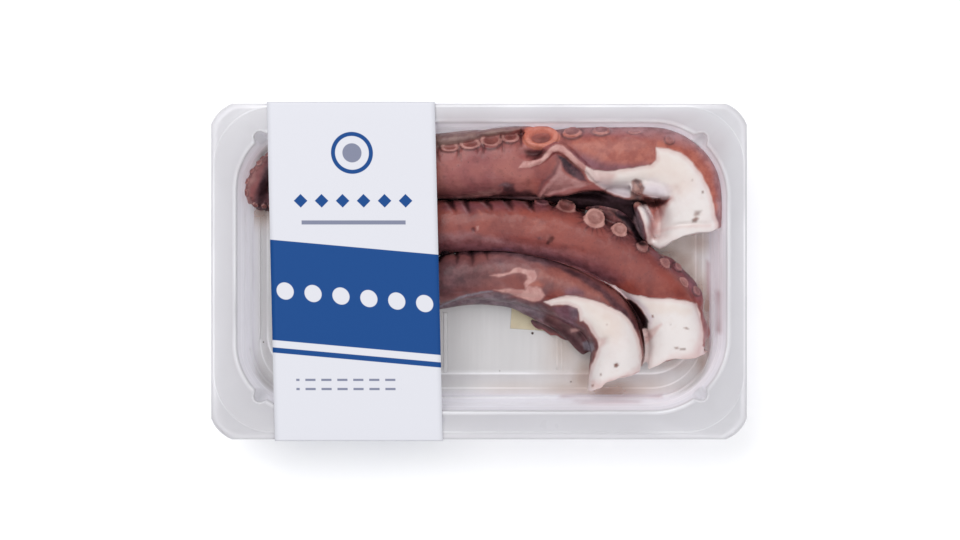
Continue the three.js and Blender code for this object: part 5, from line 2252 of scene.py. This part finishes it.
LOWER_SUCKERS = (
    Sucker(-14.5, 9.4, 6.6, 0, Face.DISHED, 12.0, 0.1),
    Sucker(-6.1, 9.4, 7.0, 0, Face.DISHED, 12.0, 0.1),
    Sucker(0.4, 9.4, 6.6, 0, Face.DISHED, 12.0, 0.1),
    Sucker(7.9, 9.4, 7.2, 0, Face.DISHED, 12.0, 0.1),
)
LOWER_PATCHES = (
    Patch(Tint.FLESH, (285, -132, 311, -123, 349, -112, 381, -105, 412, -105, 443, -114, 480, -122, 517,
        -134, 555, -147, 592, -164, 631, -185, 653, -206, 675, -235, 693, -265, 706, -292, 715, -331, 721,
        -370, 728, -406, 741, -563, 443, -563, 460, -502, 480, -454, 493, -416, 509, -379, 524, -335, 517,
        -300, 495, -267, 480, -235, 460, -215, 445, -217, 440, -191, 430, -160, 403, -153, 381, -145, 355,
        -142, 316, -151), 0.6, 0.4, floor=7.0),
    Patch(Tint.CREAM, (355, -116, 465, -125, 566, -160, 636, -221, 609, -300, 539, -300, 487, -221, 443,
        -142), 9.0, 1.0, 0.6),
    Patch(Tint.AMBER, (267, 24, 377, -2, 530, -81, 583, -142, 513, -116, 408, -81, 311, -55, 259, -20), 6.0,
        1.2, 0.42),
    Patch(Tint.AMBER, (210, -55, 254, -37, 289, -55, 276, -72, 215, -70), 2.4, 0.6, 0.7),
    Patch(Tint.RED, (96, -37, 145, -18, 189, -15, 206, -42, 202, -77, 162, -81, 123, -64), 2.0, 0.5, 0.55),
    Patch(Tint.RED, (281, -121, 307, -85, 346, -72, 386, -81, 390, -103, 346, -112, 307, -125), 3.0, 0.8,
        1.0),
    Patch(Tint.PURPLE_AND_SHADE, (373, -77, 416, -72, 460, -94, 460, -112, 408, -103, 377, -99), 3.0, 0.6, 0.8),
    Patch(Tint.RED, (530, -112, 601, -142, 671, -204, 710, -283, 728, -370, 710, -322, 671, -230, 627, -182,
        557, -142), 2.0, 0.6, 0.5),
    Patch(Tint.GREY, (70, 77, 180, 68, 289, 42, 302, 15, 202, 28, 92, 24, 4, 42), 6.0, 1.2, 0.25),
    Patch(Tint.DARK_SKIN_AND_SHADE, (-215, -169, -153, -142, -57, -103, 61, -92, 153, -112, 250, -138, 316, -160, 355, -147,
        390, -149, 403, -162, 430, -158, 434, -191, 441, -224, 463, -217, 473, -243, 491, -272, 513, -305,
        520, -335, 504, -379, 487, -419, 460, -414, 425, -335, 355, -283, 267, -256, 180, -195, 92, -178,
        -215, -221), 1.4, 1.1, 0.52),
    Patch(Tint.GREY, (-215, -173, -127, -138, -39, -112, 92, -103, 197, -134, 289, -178, 289, -221, 180,
        -178, 48, -151, -83, -151, -215, -204), 4.0, 1.4, 0.6),
    Patch(Tint.GREY, (-180, -151, -118, -123, -57, -100, 4, -92, 61, -85, 66, -94, 4, -102, -57, -112, -105,
        -132, -171, -160), 1.2, 0.5, 1.0),
    Patch(Tint.BLACK, (289, -186, 355, -221, 421, -270, 460, -309, 487, -366, 487, -406, 456, -379, 399,
        -309, 311, -256), 3.0, 1.2, 0.5),
    Patch(Tint.PURPLE_AND_SHADE, (324, -160, 381, -145, 425, -164, 434, -204, 430, -243, 381, -221, 338, -191), 2.0,
        1.0, 0.8),
    Patch(Tint.GREY, (399, -164, 430, -160, 434, -208, 412, -204), 3.0, 0.8, 0.5),
    Patch(Tint.PALE, (403, -252, 430, -249, 447, -256, 434, -265, 408, -263), 1.2, 0.5, 0.6),
    Patch(Tint.GREY, (460, -313, 478, -305, 500, -320, 504, -344, 487, -357, 465, -344), 1.4, 0.4, 1.0),
    Patch(Tint.DARK_SKIN_AND_SHADE, (-215, 112, 92, 116, 224, 81, 355, 42, 530, -55, 653, -169, 706, -256, 680, -256, 530,
        -90, 355, 11, 92, 77, -215, 72), 2.0, 0.6, 0.8),
    Patch(Tint.BLACK, (-197, 112, -101, 107, -92, 90, -118, 77, -145, 72, -171, 42, -197, 33), 1.6, 0.6,
        0.95),
    # A painted glint on the dark notch.
    Patch(Tint.PALE, (-127, 85, -114, 87, -110, 72, -123, 72), 1.2, 0.4, 0.5),
    Patch(Tint.BLACK, (-107, 103, -85, 103, -89, 59, -96, 33), 2.4, 0.5, 0.65),
    Patch(Tint.BLACK, (-42, 103, -18, 103, -23, 59, -31, 33), 2.4, 0.5, 0.65),
    Patch(Tint.BLACK, (24, 112, 48, 112, 44, 81, 35, 59), 2.4, 0.5, 0.65),
    Patch(Tint.DARK_SKIN_AND_SHADE, (-215, 68, -39, 59, 48, 15, 22, -64, -57, -90, -215, -134), 10.0, 1.2, 0.62),
    Patch(Tint.PALE, (48, -15, 92, -9, 132, -4, 149, 11, 180, 17, 210, 9, 241, 5, 252, -20, 243, -44, 224,
        -55, 210, -72, 202, -77, 197, -50, 210, -33, 206, -15, 184, -5, 149, -7, 114, -18, 83, -22), 0.9,
        0.5, 0.85),
    Patch(Tint.PALE, (66, -81, 110, -76, 162, -81, 202, -83, 210, -68, 250, -65, 272, -79, 289, -103, 272,
        -127, 250, -134, 215, -127, 171, -112, 127, -99), 1.2, 0.5, 0.85),
    Patch(Tint.SPECK, (594, -407, 607, -404, 614, -414, 605, -423, 594, -421), 0.9, 0.1, 1.0),
    Patch(Tint.SPECK, (529, -449, 538, -448, 539, -458, 530, -459), 0.8, 0.1, 0.7),
    Patch(Tint.SPECK, (489, -500, 502, -497, 502, -506, 493, -509), 0.8, 0.1, 0.8),
    Patch(Tint.SPECK, (557, -229, 565, -229, 565, -236, 558, -236), 0.8, 0.1, 0.4),
    Patch(Tint.ROSE, (478, -476, 548, -484, 640, -454, 706, -423, 728, -458, 574, -537, 478, -528), 4.0, 0.8,
        0.9),
    Patch(Tint.ROSE, (530, -292, 557, -292, 557, -313, 526, -353, 517, -335), 2.4, 0.5, 0.7),
)
LOWER_FOLDS = (
    Fold((-215, -142, 80, -83, -107, 86, 48, -94, 92, 171, -112, 94, 267, -164, 94, 355, -213, 94, 430, -283,
        92, 478, -362, 86), 11.5, 10.0),
    Fold((228, -213, 48, 259, -239, 43, 281, -256, 39), 3.4, 2.2),
    Fold((259, -217, 50, 307, -252, 44, 342, -281, 40), 5.0, 2.4),
    Fold((307, -239, 50, 364, -276, 44, 403, -303, 40), 4.4, 2.4),
    Fold((355, -256, 50, 408, -287, 46, 443, -327, 42), 4.8, 2.4),
)
LOWER_DENTS = (
    Dent(-9.6, 6.8, 1.7, 3.8, 0.0, 0.9),
    Dent(-2.8, 6.8, 1.7, 3.6, 0.0, 0.9),
    Dent(3.5, 8.5, 1.7, 3.0, 0.0, 0.9),
    Dent(53.9, -30.9, 3.0, 1.6, 0.6, 1.6),
    Dent(60.5, -41.4, 0.8, 0.8, 0.0, 0.9),
    Dent(39.0, -17.8, 5.0, 3.0, -0.4, 1.0),
    Dent(62.7, -32.2, 9.0, 12.0, 0.2, -0.8),
    Dent(9.2, -10.7, 26.0, 1.0, -0.05, 0.7),
)


def lower_arm() -> Arm:
    """The lower arm, with its pale patches and the dark web along its inner bend.

    Returns:
        The arm.
    """
    return Arm(
        name="Arm_Short",
        node="arm_short",
        stations=(
            (58, -58, 24, 20), (60, -44, 25, 23), (60.4, -31, 24.5, 25), (55, -19.5, 25, 25),
            (44.5, -12, 25, 24.5), (30.5, -6.3, 25, 23.5), (14.5, -2.6, 24, 22.5), (-1.5, -1.8, 22.8, 22),
            (-17, -3.8, 21.3, 21), (-32.5, -8.6, 18.5, 19), (-46, -15.2, 15.5, 16),
            (-57.5, -24.4, 12, 12.5), (-65.3, -35, 8.8, 9), (-69, -45, 6, 6.4), (-66.8, -53, 3.8, 4),
            (-61.8, -56, 1.8, 2),
        ),
        cut=(60, -48.8, 0.3),
        cut_profile=((-15, -1.0), (-11, 1.0), (-7, 1.0), (-4, -0.8), (2, -1.0), (8, -0.4), (12, -1.0),
                     (15, -2.0)),
        finish=OctopusFinish("Octopus_Skin_Lower", tone(150, 90, 86), tone(118, 70, 72)),
        suckers=LOWER_SUCKERS,
        patches=LOWER_PATCHES,
        folds=LOWER_FOLDS,
        dents=LOWER_DENTS,
        row_angles=(0.25, -0.6),
        rule_from=(140.0, 140.0),
        widest_sucker=7.8,
        seed=3,
    )


# ------------------------------------------------------------------------------- small things
@dataclass
class Juice:
    """The cooking juice: a thin film on the floor, browner round the arms' cut ends."""

    tray: Tray
    inset: float = 7.0
    corner: float = 22.0
    spacing: float = 1.6
    rise: float = 0.45
    thick: float = 0.35

    def build(self) -> bpy.types.Object:
        """Builds the pool.

        Returns:
            The pool, which rides on the pack and has no CAD node of its own.
        """
        half_x = self.tray.mouth_length / 2 - self.inset
        half_y = self.tray.mouth_width / 2 - self.inset
        across = np.linspace(-half_x, half_x, round(2 * half_x / self.spacing))
        along = np.linspace(-half_y, half_y, round(2 * half_y / self.spacing))
        grid_x, grid_y = (side.ravel() for side in np.meshgrid(across, along, indexing="ij"))
        core_x = np.clip(grid_x, self.corner - half_x, half_x - self.corner)
        core_y = np.clip(grid_y, self.corner - half_y, half_y - self.corner)
        away = np.hypot(grid_x - core_x, grid_y - core_y)
        pull = np.minimum(1, self.corner / np.maximum(away, TINY))
        east = core_x + (grid_x - core_x) * pull + self.tray.mouth_x
        north = core_y + (grid_y - core_y) * pull + self.tray.mouth_y
        top = np.column_stack([east, north, np.full(grid_x.size, self.tray.floor_top + self.rise)])
        strength = self._strength(top)
        top[:, 2] += 0.08 * NOISE.at(top, 14)
        size, columns = len(top), len(along)
        inside = (away < self.corner + 0.1).reshape(-1, columns)
        near = inside.copy()
        near[:-1] |= inside[1:]
        near[1:] |= inside[:-1]
        near[:, :-1] |= near[:, 1:].copy()
        near[:, 1:] |= near[:, :-1].copy()
        cell = near[:-1, :-1] & near[1:, :-1] & near[:-1, 1:] & near[1:, 1:]
        faces = []
        for i, j in zip(*np.nonzero(cell)):
            a = i * columns + j
            quad = (a, a + columns, a + columns + 1, a + 1)
            faces.append(quad)
            for step_i, step_j, low, high in ((-1, 0, 3, 0), (1, 0, 1, 2), (0, -1, 0, 1), (0, 1, 2, 3)):
                ni, nj = i + step_i, j + step_j
                if not (0 <= ni < cell.shape[0] and 0 <= nj < cell.shape[1] and cell[ni, nj]):
                    faces.append((quad[high], quad[low], size + quad[low], size + quad[high]))
        used = np.unique(np.concatenate([np.array(face) for face in faces]))
        order = np.zeros(2 * size, int)
        order[used] = np.arange(len(used))
        points = np.vstack([top, top - (0, 0, self.thick)])[used]
        pool = piece("Cooking_Juice_Pool", points, [tuple(order[list(face)].tolist()) for face in faces])
        store(pool, "strength", np.concatenate([strength, strength])[used])
        place_on_pack(pool, JuiceFinish().build())
        return pool

    def _strength(self, points: Points) -> Points:
        """How brown the pool is at each point: most by the cut ends and along the right wall.

        Each spot has its place, its width and height, and how brown it is in the middle.

        Args:
            points: the points, in millimetres.

        Returns:
            One number from 0 to 1 per point.
        """
        spots = (
            # The first spot, beside the upper arm's cut flesh, is painted shadow as well as juice.
            (83.7, 7.7, 9, 4.0, 0.8), (89.9, 4.2, 6.0, 6, 0.75), (94.3, -1.5, 4.5, 7, 0.75),
            (98.2, -8.1, 3.2, 9, 0.7), (101.3, -15.6, 3, 7, 0.9), (94.3, 12.5, 14, 5, 0.5),
            (101.7, -27.8, 2.6, 14, 0.8), (99.1, -39.7, 3.4, 5, 0.6), (37.7, -35.3, 8, 14, 0.4),
            (46.5, -47.6, 6, 10, 0.7), (54.8, -53.3, 24, 4.5, 0.85), (73.2, -50.2, 10, 4, 0.3),
            (88.1, -41.4, 10, 3, 0.35), (18.0, -52.8, 18, 4, 0.25), (-3.9, 63.8, 40, 5, 0.4),
            (-96.9, 25.2, 8, 5.0, 0.8),
        )
        total = np.zeros(len(points))
        for x, y, wide, tall, most in spots:
            far = ((points[:, 0] - x) / wide) ** 2 + ((points[:, 1] - y) / tall) ** 2
            total = np.maximum(total, most * np.exp(-far))
        return np.clip(total * (0.85 + 0.25 * NOISE.at(points * (1, 1, 0), 7)), 0, 1)


@dataclass
class Crumbs:
    """A few dark crumbs on the tray's floor."""

    level: float = 2.2
    sides: int = 10

    def build(self) -> bpy.types.Object:
        """Builds the crumbs as one piece, each from its place and its radius.

        Returns:
            The crumbs.
        """
        draw = np.random.default_rng(SEED)
        angles = around(self.sides)
        places = ((23.7, -27.4, 0.55), (-101.7, -34.4, 0.45), (-95.6, -31.3, 0.3), (-106.5, 31.3, 0.35),
                  (40.8, -48.9, 0.35), (9.2, -44.1, 0.22), (58.3, -52.4, 0.3))
        parts = []
        for x, y, size in places:
            loops = []
            for share in np.linspace(-0.95, 0.95, 7):
                reach = size * math.sqrt(1 - share**2) * (1 + 0.2 * draw.uniform(-1, 1, self.sides))
                height = np.full(self.sides, self.level + size * 0.5 * (share + 1))
                across = x + reach * np.cos(angles)
                loops.append(np.column_stack([across, y + reach * np.sin(angles), height]))
            parts.append(loft(loops))
        crumbs = piece("Floor_Crumbs", *joined(parts))
        finish = PlainFinish("Dark_Crumb", tone(58, 44, 44), tone(90, 70, 66), 0.4)
        place_on_pack(crumbs, finish.build())
        return crumbs


@dataclass
class Studio:
    """The pale floor, the soft lights and the camera straight above the pack.

    The places and sizes of lights and camera are in metres.
    """

    frame_width: float = 0.42086
    height: float = 2.4
    look_x: float = 0.00044
    look_y: float = 0.00066
    flange_height: float = 0.03
    sensor: float = 36.0

    def build(self) -> None:
        """Builds floor, lights and camera."""
        self._floor()
        self._lights()
        self._camera()

    def _floor(self) -> None:
        """A wide pale floor just under the pack."""
        reach = 3000.0
        corners = np.array([(-reach, -reach, 0), (reach, -reach, 0), (reach, reach, 0), (-reach, reach, 0)])
        floor = piece("Studio_Floor", corners - (0, 0, 0.02), [(0, 1, 2, 3)])
        finish = PlainFinish("Studio_Paper", tone(250, 250, 250), tone(248, 248, 249), 60, 0.7, 0.0)
        floor.data.materials.append(finish.build())

    def _lights(self) -> None:
        """One large soft light above and behind, one weaker in front, and a pale room.

        Each lamp has its name, place, size and power.
        """
        lamps = (("Key", (-0.5, 0.75, 1.25), 1.3, 13.5), ("Fill", (0.7, -0.5, 1.1), 1.2, 5.0))
        for name, place, size, power in lamps:
            light = bpy.data.lights.new(name, "AREA")
            light.energy = power
            light.size = size
            lamp = bpy.data.objects.new(name, light)
            lamp.location = place
            aim = Vector((0, 0, self.flange_height / 2)) - Vector(place)
            lamp.rotation_euler = aim.to_track_quat("-Z", "Y").to_euler()
            bpy.context.scene.collection.objects.link(lamp)
        world = bpy.data.worlds.new("Studio_Room")
        world.use_nodes = True
        world.node_tree.nodes["Background"].inputs["Color"].default_value = (0.97, 0.98, 1.0, 1)
        world.node_tree.nodes["Background"].inputs["Strength"].default_value = 0.8
        scene = bpy.context.scene
        scene.world = world
        scene.view_settings.view_transform = "Standard"
        scene.view_settings.look = "None"

    def _camera(self) -> None:
        """A long lens straight above, framed on the flange's height."""
        camera = bpy.data.cameras.new("Camera")
        camera.sensor_width = self.sensor
        camera.lens = self.sensor * (self.height - self.flange_height) / self.frame_width
        camera.clip_end = 50
        eye = bpy.data.objects.new("Camera", camera)
        eye.location = (self.look_x, self.look_y, self.height)
        bpy.context.scene.collection.objects.link(eye)
        bpy.context.scene.camera = eye


def dress_label() -> None:
    """Gives the sticker under the tray's floor its paper."""
    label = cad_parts["base_label"]
    finish = PlainFinish("Label_Paper", tone(255, 238, 192), tone(246, 226, 178), 3.0, 0.6)
    label.data.materials.clear()
    label.data.materials.append(finish.build())


def report(made: bpy.types.Object) -> None:
    """Logs one piece and its size."""
    LOG.info("%s has %d faces", made.name, len(made.data.polygons))


def main() -> None:
    """Builds every piece in order and reports it."""
    logging.basicConfig(level=logging.INFO, format="%(name)s: %(message)s")
    Studio().build()
    tray = Tray()
    report(tray.build())
    arms: list[Arm] = []
    for arm in (lower_arm(), middle_arm(), upper_arm()):
        report(arm.build(tray, arms))
        arms.append(arm)
    for part in (Juice(tray), Crumbs(), LidFilm(tray), Sleeve()):
        report(part.build())
    dress_label()


if __name__ == "__main__":
    main()
